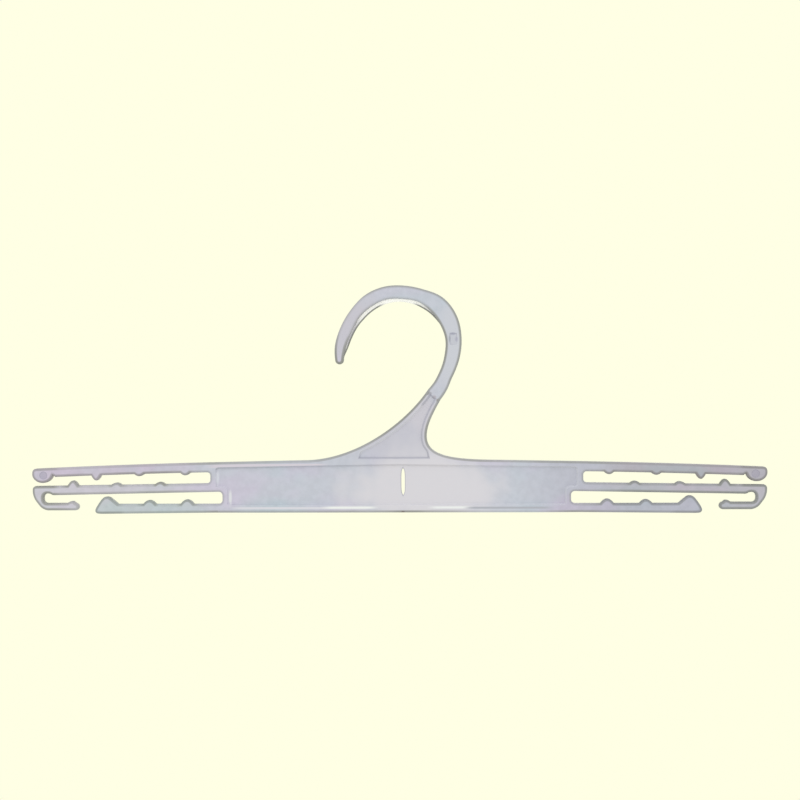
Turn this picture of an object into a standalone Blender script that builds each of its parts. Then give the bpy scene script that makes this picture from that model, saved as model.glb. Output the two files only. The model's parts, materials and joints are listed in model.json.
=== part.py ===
"""Delicates hanger: one flat plastic moulding, modelled as its hook, gusset, plate and arms.

The hanger lies in the XZ plane, +X to the viewer's right, +Z up and +Y away from the viewer.
The origin is the rail seat, the crown of the hook's inner edge, over the middle of the arms.
Each arm is a springy finger that flexes about its root, so each one is a member of its own.
"""

import math

import bmesh
import bpy

MM = 0.001

# Thicknesses, front to back
BODY_THICKNESS = 3.6 * MM
WEB_THICKNESS = 1.8 * MM
LIP_THICKNESS = 0.9 * MM
CUTTER_REACH = 1.0 * MM

# Edges and the gaps between members
EDGE_CHAMFER = 0.35 * MM
MEMBER_GAP = 0.3 * MM
FLEX_GAP = 0.4 * MM
SMOOTH_ANGLE = math.radians(40.0)

# Rail hook: stations round its centre, as degrees from +X, centreline radius and depth
HOOK_CENTRE = (1.5 * MM, -17.15 * MM)
HOOK_STATIONS = (
    (-55.0, 25.2 * MM, 6.5 * MM),
    (-35.0, 23.05 * MM, 6.0 * MM),
    (-15.0, 22.2 * MM, 6.5 * MM),
    (5.0, 22.15 * MM, 7.0 * MM),
    (25.0, 22.1 * MM, 8.0 * MM),
    (45.0, 21.8 * MM, 8.3 * MM),
    (65.0, 21.2 * MM, 6.4 * MM),
    (85.0, 21.05 * MM, 5.8 * MM),
    (105.0, 21.4 * MM, 5.8 * MM),
    (125.0, 22.0 * MM, 5.4 * MM),
    (145.0, 22.4 * MM, 5.0 * MM),
    (165.0, 23.4 * MM, 4.8 * MM),
    (185.0, 25.1 * MM, 4.5 * MM),
    (195.5, 26.4 * MM, 3.3 * MM),
)
HOOK_STEP_DEG = 7.0
HOOK_TIP_SIDES = 6

# Thin lip along the hook's inner edge, as degrees from +X and edge radius
LIP_STATIONS = (
    (40.0, 17.75 * MM),
    (60.0, 17.15 * MM),
    (80.0, 17.15 * MM),
    (105.0, 17.2 * MM),
    (125.0, 17.3 * MM),
    (145.0, 18.0 * MM),
    (165.0, 19.05 * MM),
    (185.0, 21.5 * MM),
    (194.0, 24.4 * MM),
)

# Gusset: the sweeps from the hook's neck down to the plate, as curve handles
SWEEP_HANDLES = ((3.4 * MM, -50.9 * MM), (-17.4 * MM, -65.5 * MM), (-38.0 * MM, -65.45 * MM))
NECK_HANDLES = ((16.0 * MM, -44.9 * MM), (12.6 * MM, -50.5 * MM), (12.6 * MM, -55.6 * MM))
FOOT_HANDLES = ((12.6 * MM, -62.3 * MM), (19.5 * MM, -64.6 * MM), (36.0 * MM, -65.2 * MM))
SWEEP_POINTS = 22
NECK_POINTS = 8
FOOT_POINTS = 9
GUSSET_SPLIT_Z = -62.75 * MM
GUSSET_RIM = 1.2 * MM
GUSSET_PANEL_TOP_LEFT_Z = -37.4 * MM
GUSSET_PANEL_TOP_RIGHT_Z = -41.6 * MM
GUSSET_PANEL_TURN_Z = -61.6 * MM
GUSSET_PANEL_FOOT_Z = -64.65 * MM
GUSSET_PANEL_FLARE = 0.8 * MM

# Centre plate
PLATE_BOTTOM_Z = -87.15 * MM
TOP_RIM = 2.5 * MM
BOTTOM_RIM = 2.8 * MM
PANEL_CENTRE_TOP_Z = -67.6 * MM
PANEL_END_X = 75.0 * MM
PANEL_STEP_X = 69.5 * MM
PANEL_STEP_Z = -77.3 * MM
PANEL_CORNER = 0.9 * MM
SLIT_X = 3.0 * MM
SLIT_CENTRE_Z = -74.4 * MM
SLIT_LENGTH = 10.8 * MM
SLIT_WIDTH = 1.7 * MM
SLIT_SIDES = 8

# Slots between the arms
UPPER_SLOT_END_X = 77.2 * MM
LOWER_SLOT_END_X = 72.15 * MM
UPPER_SLOT_CORNER = 1.4 * MM
LOWER_SLOT_CORNER = 1.6 * MM
CORNER_SIDES = 4

# Where the arms flex
UPPER_HINGE_X = 79.2 * MM
LOWER_HINGE_X = 74.0 * MM

# Upper arms: the centreline falls away with a slope and a bend, and the depth tapers
UPPER_ROOT_Z = -68.25 * MM
UPPER_SLOPE = -0.0189
UPPER_BEND = -0.16
UPPER_DEPTH = 4.15 * MM
UPPER_TAPER = -0.004
UPPER_TEETH = (
    (87.7 * MM, 2.1 * MM, 2.1 * MM, 1.05 * MM),
    (107.0 * MM, 2.1 * MM, 2.1 * MM, 0.9 * MM),
    (125.1 * MM, 2.1 * MM, 2.1 * MM, 2.1 * MM),
)

# Upper arms' end bulbs
BULB_X = 147.8 * MM
BULB_HALF_LENGTH = 4.4 * MM
BULB_CENTRE_Z = -70.9 * MM
BULB_DROP = 3.7 * MM
BULB_TOP_X = 149.8 * MM
BULB_HEEL = 1.0 * MM
BULB_SIDES = 10

# Middle arms
MIDDLE_ROOT_Z = -76.68 * MM
MIDDLE_SLOPE = -0.016
MIDDLE_DEPTH = 3.65 * MM
MIDDLE_TAPER = 0.0045
MIDDLE_TEETH = (
    (98.2 * MM, 2.1 * MM, 2.1 * MM, 0.9 * MM),
    (116.4 * MM, 1.9 * MM, 2.5 * MM, 0.9 * MM),
    (134.9 * MM, 2.3 * MM, 2.3 * MM, 2.05 * MM),
)
MIDDLE_END_X = 143.6 * MM

# Strap hooks, the J-shaped ends of the middle arms
STRAP_OUTER_X = 152.0 * MM
STRAP_INNER_X = 147.4 * MM
STRAP_SHOULDER_Z = -80.4 * MM
STRAP_HEEL_X = 147.6 * MM
STRAP_BOTTOM_Z = -86.05 * MM
STRAP_PRONG_TOP_Z = -82.95 * MM
STRAP_TIP_X = 132.5 * MM
STRAP_TIP_TURN_DEG = 170.0
STRAP_NUB_X = 135.2 * MM
STRAP_NUB_HALF_LENGTH = 2.0 * MM
STRAP_NUB_HEIGHT = 0.8 * MM
STRAP_OUTER_CORNER = 1.3 * MM
STRAP_INNER_CORNER = 1.6 * MM
STRAP_ROOF_RISE = 0.8 * MM
STRAP_ROOF_RAMP = 1.2 * MM

# Lower arms
LOWER_ROOT_Z = -85.25 * MM
LOWER_SLOPE = -0.004
LOWER_DEPTH = 3.65 * MM
LOWER_TAPER = 0.01
LOWER_TEETH = (
    (86.9 * MM, 2.8 * MM, 2.8 * MM, 1.85 * MM),
    (102.7 * MM, 2.7 * MM, 2.7 * MM, 1.6 * MM),
)
LOWER_KNOB_X = 115.9 * MM
LOWER_KNOB_FOOT = 2.0 * MM
LOWER_KNOB = (
    (118.3 * MM, -81.4 * MM),
    (119.5 * MM, -80.55 * MM),
    (120.7 * MM, -80.35 * MM),
    (121.9 * MM, -80.65 * MM),
    (123.1 * MM, -81.8 * MM),
    (124.9 * MM, -84.4 * MM),
    (125.6 * MM, -86.1 * MM),
    (125.2 * MM, -87.1 * MM),
    (124.2 * MM, -87.5 * MM),
)

TOOTH_SIDES = 8
ARM_STEP = 12.0 * MM

# The handle length that makes a cubic curve follow a quarter circle
QUARTER_PULL = 0.448

# Half the angle over which a curve's direction is measured
DIRECTION_NUDGE_DEG = 0.5

HOOK_COLOUR = (0.60, 0.60, 0.67)
PLATE_COLOUR = (0.62, 0.64, 0.71)
ARM_COLOUR = (0.57, 0.57, 0.65)
PLASTIC_ROUGHNESS = 0.38


def clear_scene():
    """Remove whatever the scene held before."""
    for item in list(bpy.data.objects):
        bpy.data.objects.remove(item, do_unlink=True)


def plastic(name, colour):
    """Milky, slightly glossy moulded plastic."""
    material = bpy.data.materials.new(name)
    material.use_nodes = True
    shader = material.node_tree.nodes["Principled BSDF"]
    shader.inputs["Base Color"].default_value = (*colour, 1.0)
    shader.inputs["Roughness"].default_value = PLASTIC_ROUGHNESS
    shader.inputs["Metallic"].default_value = 0.0
    return material


def curve(start, first, second, end, count):
    """Points of a cubic curve, both ends included."""
    points = []
    for index in range(count + 1):
        t = index / count
        s = 1.0 - t
        weights = (s ** 3, 3 * s * s * t, 3 * s * t * t, t ** 3)
        ends = (start, first, second, end)
        points.append(tuple(sum(w * p[axis] for w, p in zip(weights, ends)) for axis in (0, 1)))
    return points


def arc(centre, radii, start_deg, end_deg, sides):
    """Points of an elliptical arc, both ends included."""
    points = []
    for index in range(sides + 1):
        angle = math.radians(start_deg + (end_deg - start_deg) * index / sides)
        points.append((centre[0] + radii[0] * math.cos(angle), centre[1] + radii[1] * math.sin(angle)))
    return points


def fillet(corner, before, after, radius, sides=CORNER_SIDES):
    """Round a corner that comes from the point before and leaves to the point after."""
    start = towards(corner, before, radius)
    end = towards(corner, after, radius)
    start_handle = blend_points(corner, start, QUARTER_PULL)
    end_handle = blend_points(corner, end, QUARTER_PULL)
    return curve(start, start_handle, end_handle, end, sides)


def towards(start, end, distance):
    """The point at a distance from start on the way to end."""
    length = math.dist(start, end)
    return blend_points(start, end, distance / length)


def blend_points(start, end, share):
    """The point at a share of the way from start to end."""
    return tuple(a + (b - a) * share for a, b in zip(start, end))


def station_value(stations, angle, column):
    """A smooth value between the stations of a table, by its first column."""
    last = len(stations) - 1
    index = 0
    while index < last - 1 and angle > stations[index + 1][0]:
        index += 1
    low, high = stations[index], stations[index + 1]
    span = high[0] - low[0]

    def slope(at):
        before = stations[max(at - 1, 0)]
        after = stations[min(at + 1, last)]
        return (after[column] - before[column]) / (after[0] - before[0])

    t = (angle - low[0]) / span
    rise = high[column] - low[column]
    start_pull = slope(index) * span
    end_pull = slope(index + 1) * span
    square = (3 * rise - 2 * start_pull - end_pull) * t * t
    cube = (start_pull + end_pull - 2 * rise) * t ** 3
    return low[column] + start_pull * t + square + cube


def polar(angle_deg, radius):
    """A point round the hook's centre."""
    angle = math.radians(angle_deg)
    return (HOOK_CENTRE[0] + radius * math.cos(angle), HOOK_CENTRE[1] + radius * math.sin(angle))


def hook_section(angle_deg):
    """The hook's centreline point, its way along and its way out, and its depth."""
    here, back, ahead = (
        polar(at, station_value(HOOK_STATIONS, at, 1))
        for at in (angle_deg, angle_deg - DIRECTION_NUDGE_DEG, angle_deg + DIRECTION_NUDGE_DEG)
    )
    along = unit((ahead[0] - back[0], ahead[1] - back[1]))
    outward = (along[1], -along[0])
    return here, along, outward, station_value(HOOK_STATIONS, angle_deg, 2)


def unit(vector):
    """The vector at length one."""
    length = math.hypot(*vector)
    return (vector[0] / length, vector[1] / length)


def shifted(point, direction, distance):
    """The point moved along a direction."""
    return (point[0] + direction[0] * distance, point[1] + direction[1] * distance)


def mirrored(points):
    """The points on the other side of the middle, in the opposite order."""
    return [(-x, z) for x, z in reversed(points)]


def angles_between(start_deg, end_deg):
    """Even angles at about the hook's step, both ends included."""
    count = math.ceil((end_deg - start_deg) / HOOK_STEP_DEG)
    return [start_deg + (end_deg - start_deg) * index / count for index in range(count + 1)]


def hook_outline():
    """The hook's body from its neck over the rail to its rounded tip."""
    inner, outer = [], []
    for angle in angles_between(HOOK_STATIONS[0][0], HOOK_STATIONS[-1][0]):
        here, _, outward, depth = hook_section(angle)
        inner.append(shifted(here, outward, -depth / 2))
        outer.append(shifted(here, outward, depth / 2))
    here, along, outward, depth = hook_section(HOOK_STATIONS[-1][0])
    tip = []
    for index in range(1, HOOK_TIP_SIDES):
        angle = math.pi * index / HOOK_TIP_SIDES
        side = shifted(here, outward, math.cos(angle) * depth / 2)
        tip.append(shifted(side, along, math.sin(angle) * depth / 2))
    return outer + tip + inner[::-1]


def lip_outline():
    """The thin lip: its free edge faces the rail, and its other edge runs inside the hook."""
    first, last = LIP_STATIONS[0][0], LIP_STATIONS[-1][0]
    free, rooted = [], []
    for angle in angles_between(first, last):
        free.append(polar(angle, station_value(LIP_STATIONS, angle, 1)))
        rooted.append(hook_section(angle)[0])
    return free + rooted[::-1]


def neck_corners(gap):
    """The two corners of the neck, a gap away from the hook's end."""
    here, along, outward, depth = hook_section(HOOK_STATIONS[0][0])
    here = shifted(here, along, -gap)
    return shifted(here, outward, -depth / 2), shifted(here, outward, depth / 2)


def sweep_line():
    """The gusset's long concave edge, from the neck down to the plate's top on the left."""
    return curve(neck_corners(MEMBER_GAP)[0], *SWEEP_HANDLES, SWEEP_POINTS)


def foot_line():
    """The gusset's steep edge, from the neck down and out along the plate's top on the right."""
    upper = curve(neck_corners(MEMBER_GAP)[1], *NECK_HANDLES, NECK_POINTS)
    lower = curve(NECK_HANDLES[-1], *FOOT_HANDLES, FOOT_POINTS)
    return upper + lower[1:]


def part_above(line, height):
    """The stretch of a falling line that lies above a height, ending on it."""
    kept = [point for point in line if point[1] > height]
    low = line[len(kept)]
    high = kept[-1]
    share = (high[1] - height) / (high[1] - low[1])
    return kept + [blend_points(high, low, share)]


def part_below(line, height):
    """The stretch of a falling line that lies below a height, starting on it."""
    return [part_above(line, height)[-1]] + [point for point in line if point[1] < height]


def offset_line(line, distance):
    """The line moved to its left side by a distance."""
    moved = []
    for index, point in enumerate(line):
        before = line[max(index - 1, 0)]
        after = line[min(index + 1, len(line) - 1)]
        along = unit((after[0] - before[0], after[1] - before[1]))
        moved.append(shifted(point, (-along[1], along[0]), distance))
    return moved


class ArmShape:
    """An arm's two long edges, as heights along the hanger."""

    def __init__(self, root_x, root_z, slope, bend, depth, taper):
        self.root_x = root_x
        self.root_z = root_z
        self.slope = slope
        self.bend = bend
        self.depth = depth
        self.taper = taper

    def centre(self, x):
        """Height of the centreline."""
        reach = x - self.root_x
        return self.root_z + self.slope * reach + self.bend * reach * reach

    def half_depth(self, x):
        """Half the arm's depth."""
        return (self.depth + self.taper * (x - self.root_x)) / 2

    def top(self, x):
        """Height of the top edge."""
        return self.centre(x) + self.half_depth(x)

    def under(self, x):
        """Height of the underside."""
        return self.centre(x) - self.half_depth(x)


UPPER = ArmShape(UPPER_SLOT_END_X, UPPER_ROOT_Z, UPPER_SLOPE, UPPER_BEND, UPPER_DEPTH, UPPER_TAPER)
MIDDLE = ArmShape(UPPER_SLOT_END_X, MIDDLE_ROOT_Z, MIDDLE_SLOPE, 0.0, MIDDLE_DEPTH, MIDDLE_TAPER)
LOWER = ArmShape(LOWER_SLOT_END_X, LOWER_ROOT_Z, LOWER_SLOPE, 0.0, LOWER_DEPTH, LOWER_TAPER)


def toothed_edge(height_at, start_x, end_x, teeth=(), side=1.0):
    """An arm's edge from start to end, with its teeth standing out on a side."""
    low, high = min(start_x, end_x), max(start_x, end_x)
    places = {low, high}
    for x, inner, outer, _ in teeth:
        for index in range(TOOTH_SIDES + 1):
            share = 2.0 * index / TOOTH_SIDES - 1.0
            places.add(x + share * (outer if share > 0 else inner))
    steps = math.ceil((high - low) / ARM_STEP)
    for index in range(1, steps):
        x = low + (high - low) * index / steps
        if all(abs(x - tooth[0]) > 2 * tooth[1] for tooth in teeth):
            places.add(x)
    ordered = sorted(places, reverse=start_x > end_x)
    return [(x, height_at(x) + side * tooth_height(x, teeth)) for x in ordered]


def tooth_height(x, teeth):
    """How far the teeth stand out at a place."""
    for centre, inner, outer, height in teeth:
        reach = (x - centre) / (outer if x > centre else inner)
        if abs(reach) < 1.0:
            return height * (1.0 - reach * reach)
    return 0.0


def upper_arm_outline():
    """Right upper arm: smooth on top, teeth below, and a bulb that hangs from its end."""
    root = UPPER_HINGE_X + FLEX_GAP / 2
    top = toothed_edge(UPPER.top, root, BULB_TOP_X)
    end_corner = (BULB_X + BULB_HALF_LENGTH, UPPER.top(BULB_TOP_X))
    bulb_end = (BULB_X + BULB_HALF_LENGTH, BULB_CENTRE_Z)
    nose = curve(top[-1], end_corner, end_corner, bulb_end, CORNER_SIDES)
    bulb = arc((BULB_X, BULB_CENTRE_Z), (BULB_HALF_LENGTH, BULB_DROP), 0.0, -180.0, BULB_SIDES)
    heel_x = BULB_X - BULB_HALF_LENGTH - BULB_HEEL
    under = toothed_edge(UPPER.under, heel_x, root, UPPER_TEETH, -1.0)
    return top + nose[1:] + bulb[1:-1] + under


def middle_arm_outline():
    """Right middle arm: teeth on top, smooth below."""
    root = UPPER_HINGE_X + FLEX_GAP / 2
    top = toothed_edge(MIDDLE.top, root, MIDDLE_END_X, MIDDLE_TEETH)
    return top + toothed_edge(MIDDLE.under, MIDDLE_END_X, root)


def prong_top(x):
    """Height of the upper edge of a strap hook's prong, with the nub near its tip."""
    nub = (STRAP_NUB_X, STRAP_NUB_HALF_LENGTH, STRAP_NUB_HALF_LENGTH, STRAP_NUB_HEIGHT)
    return STRAP_PRONG_TOP_Z + tooth_height(x, (nub,))


def prong_line():
    """The prong's upper edge from the nub to the pocket, and the rounded tip before it."""
    half_prong = (STRAP_PRONG_TOP_Z - STRAP_BOTTOM_Z) / 2
    tip_centre = (STRAP_TIP_X + half_prong, STRAP_BOTTOM_Z + half_prong)
    end_deg = 270.0 - STRAP_TIP_TURN_DEG
    tip = arc(tip_centre, (half_prong, half_prong), 270.0, end_deg, HOOK_TIP_SIDES)
    step = 2.0 * STRAP_NUB_HALF_LENGTH / TOOTH_SIDES
    first_x = STRAP_NUB_X - step
    nub = [(first_x + index * step, prong_top(first_x + index * step)) for index in range(TOOTH_SIDES)]
    return tip + nub


def strap_hook_outline():
    """Right strap hook: it turns down from the middle arm and back under it."""
    start_x = MIDDLE_END_X + MEMBER_GAP
    ramp_x = start_x + STRAP_ROOF_RAMP
    roof_z = MIDDLE.under(STRAP_INNER_X) + STRAP_ROOF_RISE
    top_start = (start_x, MIDDLE.top(start_x))
    top_corner = (STRAP_OUTER_X, MIDDLE.top(STRAP_OUTER_X))
    shoulder = (STRAP_OUTER_X, STRAP_SHOULDER_Z)
    heel = (STRAP_HEEL_X, STRAP_BOTTOM_Z)
    prong = prong_line()
    pocket_low = (STRAP_INNER_X, STRAP_PRONG_TOP_Z)
    pocket_high = (STRAP_INNER_X, roof_z)
    under_start = (start_x, MIDDLE.under(start_x))
    ramp_middle = start_x + STRAP_ROOF_RAMP / 2
    ramp_handles = ((ramp_middle, roof_z), (ramp_middle, under_start[1]))
    ramp = curve((ramp_x, roof_z), *ramp_handles, under_start, CORNER_SIDES)
    outline = [top_start]
    outline += fillet(top_corner, top_start, shoulder, STRAP_OUTER_CORNER)
    outline += fillet(shoulder, top_corner, heel, STRAP_OUTER_CORNER)
    outline += fillet(heel, shoulder, prong[0], STRAP_OUTER_CORNER)
    outline += prong
    outline += fillet(pocket_low, prong[-1], pocket_high, STRAP_INNER_CORNER)
    outline += fillet(pocket_high, pocket_low, (ramp_x, roof_z), STRAP_INNER_CORNER)
    return outline + ramp


def lower_arm_outline():
    """Right lower arm: teeth on top and an upright knob at its end."""
    root = LOWER_HINGE_X + FLEX_GAP / 2
    top = toothed_edge(LOWER.top, root, LOWER_KNOB_X, LOWER_TEETH)
    under = toothed_edge(LOWER.under, LOWER_KNOB[-1][0] - LOWER_KNOB_FOOT, root)
    return top + list(LOWER_KNOB) + under


def plate_end():
    """The plate's right end from its top edge to its bottom edge, round the ends of both slots."""
    upper_x = UPPER_HINGE_X - FLEX_GAP / 2
    lower_x = LOWER_HINGE_X - FLEX_GAP / 2
    upper_under = (upper_x, UPPER.under(upper_x))
    upper_roof = (UPPER_SLOT_END_X, UPPER.under(UPPER_SLOT_END_X))
    upper_floor = (UPPER_SLOT_END_X, MIDDLE.top(UPPER_SLOT_END_X))
    middle_top = (upper_x, MIDDLE.top(upper_x))
    middle_under = (upper_x, MIDDLE.under(upper_x))
    lower_roof = (LOWER_SLOT_END_X, MIDDLE.under(LOWER_SLOT_END_X))
    lower_floor = (LOWER_SLOT_END_X, LOWER.top(LOWER_SLOT_END_X))
    lower_top = (lower_x, LOWER.top(lower_x))
    points = [(upper_x, UPPER.top(upper_x)), upper_under]
    points += fillet(upper_roof, upper_under, upper_floor, UPPER_SLOT_CORNER)
    points += fillet(upper_floor, upper_roof, middle_top, UPPER_SLOT_CORNER)
    points += [middle_top, middle_under]
    points += fillet(lower_roof, middle_under, lower_floor, LOWER_SLOT_CORNER)
    points += fillet(lower_floor, lower_roof, lower_top, LOWER_SLOT_CORNER)
    points += [lower_top, (lower_x, PLATE_BOTTOM_Z)]
    return points


def plate_outline():
    """The centre plate, with the feet of the gusset's sweeps on its top edge."""
    split = GUSSET_SPLIT_Z - MEMBER_GAP / 2
    right = plate_end()
    left = mirrored(right)
    left_foot = part_below(sweep_line(), split)
    right_foot = part_below(foot_line(), split)
    return left_foot[::-1] + right_foot + right + left


def gusset_outline():
    """The gusset between the hook's neck and the plate."""
    split = GUSSET_SPLIT_Z + MEMBER_GAP / 2
    return part_above(sweep_line(), split) + part_above(foot_line(), split)[::-1]


def gusset_panel_outline():
    """The sunk panel of the gusset, from across the neck to a straight line at the plate's top rim."""
    left = offset_line(sweep_line(), GUSSET_RIM)
    right = offset_line(foot_line(), -GUSSET_RIM)
    left = part_above(part_below(left, GUSSET_PANEL_TOP_LEFT_Z), GUSSET_PANEL_TURN_Z)
    right = part_above(part_below(right, GUSSET_PANEL_TOP_RIGHT_Z), GUSSET_PANEL_TURN_Z)
    left.append((left[-1][0] - GUSSET_PANEL_FLARE, GUSSET_PANEL_FOOT_Z))
    right.append((right[-1][0] + GUSSET_PANEL_FLARE, GUSSET_PANEL_FOOT_Z))
    return left + right[::-1]


def plate_panel_outline():
    """The sunk panel of the plate, stepped at both ends to pass the lower slots."""
    end_top = (PANEL_END_X, UPPER.top(PANEL_END_X) - TOP_RIM)
    end_step = (PANEL_END_X, PANEL_STEP_Z)
    step_in = (PANEL_STEP_X, PANEL_STEP_Z)
    foot = (PANEL_STEP_X, PLATE_BOTTOM_Z + BOTTOM_RIM)
    centre_top = (0.0, PANEL_CENTRE_TOP_Z)
    centre_foot = (0.0, PLATE_BOTTOM_Z + BOTTOM_RIM)
    half = [centre_top]
    half += fillet(end_top, centre_top, end_step, PANEL_CORNER)
    half += fillet(end_step, end_top, step_in, PANEL_CORNER)
    half += fillet(step_in, end_step, foot, PANEL_CORNER)
    half += fillet(foot, step_in, centre_foot, PANEL_CORNER)
    return half + mirrored(half[1:])


def slit_outline():
    """The lens-shaped slit through the plate."""
    sagitta = SLIT_WIDTH / 2
    half_length = SLIT_LENGTH / 2
    radius = (half_length ** 2 + sagitta ** 2) / (2 * sagitta)
    spread = math.degrees(math.asin(half_length / radius))
    radii = (radius, radius)
    right_centre = (SLIT_X + sagitta - radius, SLIT_CENTRE_Z)
    left_centre = (SLIT_X - sagitta + radius, SLIT_CENTRE_Z)
    right = arc(right_centre, radii, spread, -spread, SLIT_SIDES)
    left = arc(left_centre, radii, 180.0 + spread, 180.0 - spread, SLIT_SIDES)
    return right + left[1:-1]


def flat_mesh(name, outline, thickness, origin=(0.0, 0.0), centre_y=0.0, chamfer=0.0):
    """A flat closed body: the outline extruded front to back, its two rims chamfered."""
    shape = bmesh.new()
    front_y = centre_y - thickness / 2
    corners = [shape.verts.new((x - origin[0], front_y, z - origin[1])) for x, z in outline]
    front = shape.faces.new(corners)
    grown = bmesh.ops.extrude_face_region(shape, geom=[front])["geom"]
    moved = [item for item in grown if isinstance(item, bmesh.types.BMVert)]
    bmesh.ops.translate(shape, vec=(0.0, thickness, 0.0), verts=moved)
    if chamfer:
        rims = [edge for edge in shape.edges if edge.verts[0].co.y == edge.verts[1].co.y]
        bmesh.ops.bevel(shape, geom=rims, offset=chamfer, segments=1, affect="EDGES", profile=0.5)
    bmesh.ops.recalc_face_normals(shape, faces=shape.faces)
    mesh = bpy.data.meshes.new(name)
    shape.to_mesh(mesh)
    shape.free()
    return mesh


def add_member(name, outline, material, hinge=(0.0, 0.0), parent=None):
    """A member of the hanger, its origin on the axis that it flexes about."""
    mesh = flat_mesh(name, outline, BODY_THICKNESS, hinge, chamfer=EDGE_CHAMFER)
    mesh.materials.append(material)
    mesh.shade_smooth()
    mesh.set_sharp_from_angle(angle=SMOOTH_ANGLE)
    member = bpy.data.objects.new(name, mesh)
    bpy.context.collection.objects.link(member)
    if parent is None:
        member.location = (hinge[0], 0.0, hinge[1])
    else:
        member.parent = parent
    return member


def add_cutter(name, outline, thickness, centre_y=0.0):
    """A hidden shape that a member is cut or joined with."""
    cutter = bpy.data.objects.new(name, flat_mesh(name, outline, thickness, centre_y=centre_y))
    bpy.context.collection.objects.link(cutter)
    cutter.hide_render = True
    cutter.display_type = "WIRE"
    return cutter


def combine(member, other, operation):
    """Cut a member with another shape, or join the shape to it."""
    modifier = member.modifiers.new(other.name, "BOOLEAN")
    modifier.operation = operation
    modifier.solver = "EXACT"
    modifier.object = other


def sunk_panel(name, outline, members):
    """Sink a panel into the front and the back of the members that it lies on."""
    thickness = (BODY_THICKNESS - WEB_THICKNESS) / 2 + CUTTER_REACH
    centre_y = (WEB_THICKNESS + thickness) / 2
    for side, y in (("front", -centre_y), ("back", centre_y)):
        cutter = add_cutter(f"{name}_{side}", outline, thickness, y)
        for member in members:
            combine(member, cutter, "DIFFERENCE")


def build_hook():
    """The rail hook with the thin lip along its inner edge."""
    hook = add_member("rail_hook", hook_outline(), plastic("hook_plastic", HOOK_COLOUR))
    combine(hook, add_cutter("lip", lip_outline(), LIP_THICKNESS), "UNION")


def build_centre():
    """The plate and the gusset, with their sunk panels and the slit."""
    material = plastic("plate_plastic", PLATE_COLOUR)
    plate = add_member("centre_plate", plate_outline(), material)
    gusset = add_member("hook_gusset", gusset_outline(), material)
    sunk_panel("gusset_panel", gusset_panel_outline(), (gusset, plate))
    sunk_panel("plate_panel", plate_panel_outline(), (plate,))
    slit = add_cutter("slit", slit_outline(), BODY_THICKNESS + 2 * CUTTER_REACH)
    combine(plate, slit, "DIFFERENCE")


def build_arms():
    """The three arms on each side, and the strap hooks at the ends of the middle ones."""
    material = plastic("arm_plastic", ARM_COLOUR)
    hinges = {
        "upper": (UPPER_HINGE_X, UPPER.centre(UPPER_HINGE_X)),
        "middle": (UPPER_HINGE_X, MIDDLE.centre(UPPER_HINGE_X)),
        "lower": (LOWER_HINGE_X, LOWER.centre(LOWER_HINGE_X)),
    }
    outlines = {
        "upper": upper_arm_outline(),
        "middle": middle_arm_outline(),
        "lower": lower_arm_outline(),
    }
    strap_hook = strap_hook_outline()
    for level, hinge in hinges.items():
        add_member(f"{level}_arm_right", outlines[level], material, hinge)
        add_member(f"{level}_arm_left", mirrored(outlines[level]), material, (-hinge[0], hinge[1]))
    hinge = hinges["middle"]
    right_arm = bpy.data.objects["middle_arm_right"]
    left_arm = bpy.data.objects["middle_arm_left"]
    add_member("strap_hook_right", strap_hook, material, hinge, right_arm)
    add_member("strap_hook_left", mirrored(strap_hook), material, (-hinge[0], hinge[1]), left_arm)


def main():
    """Build the whole hanger."""
    clear_scene()
    build_hook()
    build_centre()
    build_arms()


main()
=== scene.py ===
"""Looks of the delicates hanger: one flat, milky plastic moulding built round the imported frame.

The hanger lies in the XZ plane, +X to the viewer's right, +Z up and +Y away from the viewer.
The origin is the rail seat, the crown of the hook's inner edge. The hook, the gusset and the
plate are one continuous moulding, and each arm grows out of it and bends from its root.
"""

from __future__ import annotations

import json
import logging
import math
from collections.abc import Callable, Sequence
from dataclasses import dataclass
from enum import Enum
from functools import reduce

import bmesh
import bpy
import numpy as np
from mathutils import Matrix, Vector

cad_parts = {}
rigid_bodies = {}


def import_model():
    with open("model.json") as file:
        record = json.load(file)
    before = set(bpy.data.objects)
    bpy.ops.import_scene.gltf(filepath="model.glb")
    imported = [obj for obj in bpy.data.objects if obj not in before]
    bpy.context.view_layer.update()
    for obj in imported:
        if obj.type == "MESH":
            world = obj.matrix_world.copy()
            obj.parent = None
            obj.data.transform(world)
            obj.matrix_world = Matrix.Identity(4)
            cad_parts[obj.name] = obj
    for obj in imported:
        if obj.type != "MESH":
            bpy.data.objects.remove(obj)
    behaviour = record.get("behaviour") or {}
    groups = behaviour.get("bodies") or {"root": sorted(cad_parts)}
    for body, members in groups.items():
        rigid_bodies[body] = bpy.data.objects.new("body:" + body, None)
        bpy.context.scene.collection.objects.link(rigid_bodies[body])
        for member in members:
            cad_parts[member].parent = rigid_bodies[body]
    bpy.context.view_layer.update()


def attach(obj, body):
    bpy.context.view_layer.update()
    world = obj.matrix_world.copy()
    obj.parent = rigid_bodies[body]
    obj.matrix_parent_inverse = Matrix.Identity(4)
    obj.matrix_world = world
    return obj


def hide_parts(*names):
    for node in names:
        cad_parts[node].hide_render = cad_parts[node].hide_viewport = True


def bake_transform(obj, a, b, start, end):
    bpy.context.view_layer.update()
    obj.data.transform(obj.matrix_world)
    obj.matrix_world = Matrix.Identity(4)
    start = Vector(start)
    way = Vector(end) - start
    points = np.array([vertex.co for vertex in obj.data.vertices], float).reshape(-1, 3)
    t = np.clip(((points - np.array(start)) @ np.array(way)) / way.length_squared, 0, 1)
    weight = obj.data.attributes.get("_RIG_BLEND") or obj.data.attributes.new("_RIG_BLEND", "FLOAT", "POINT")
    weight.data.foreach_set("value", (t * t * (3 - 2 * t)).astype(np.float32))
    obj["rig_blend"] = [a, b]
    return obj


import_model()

MM = 0.001
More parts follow.
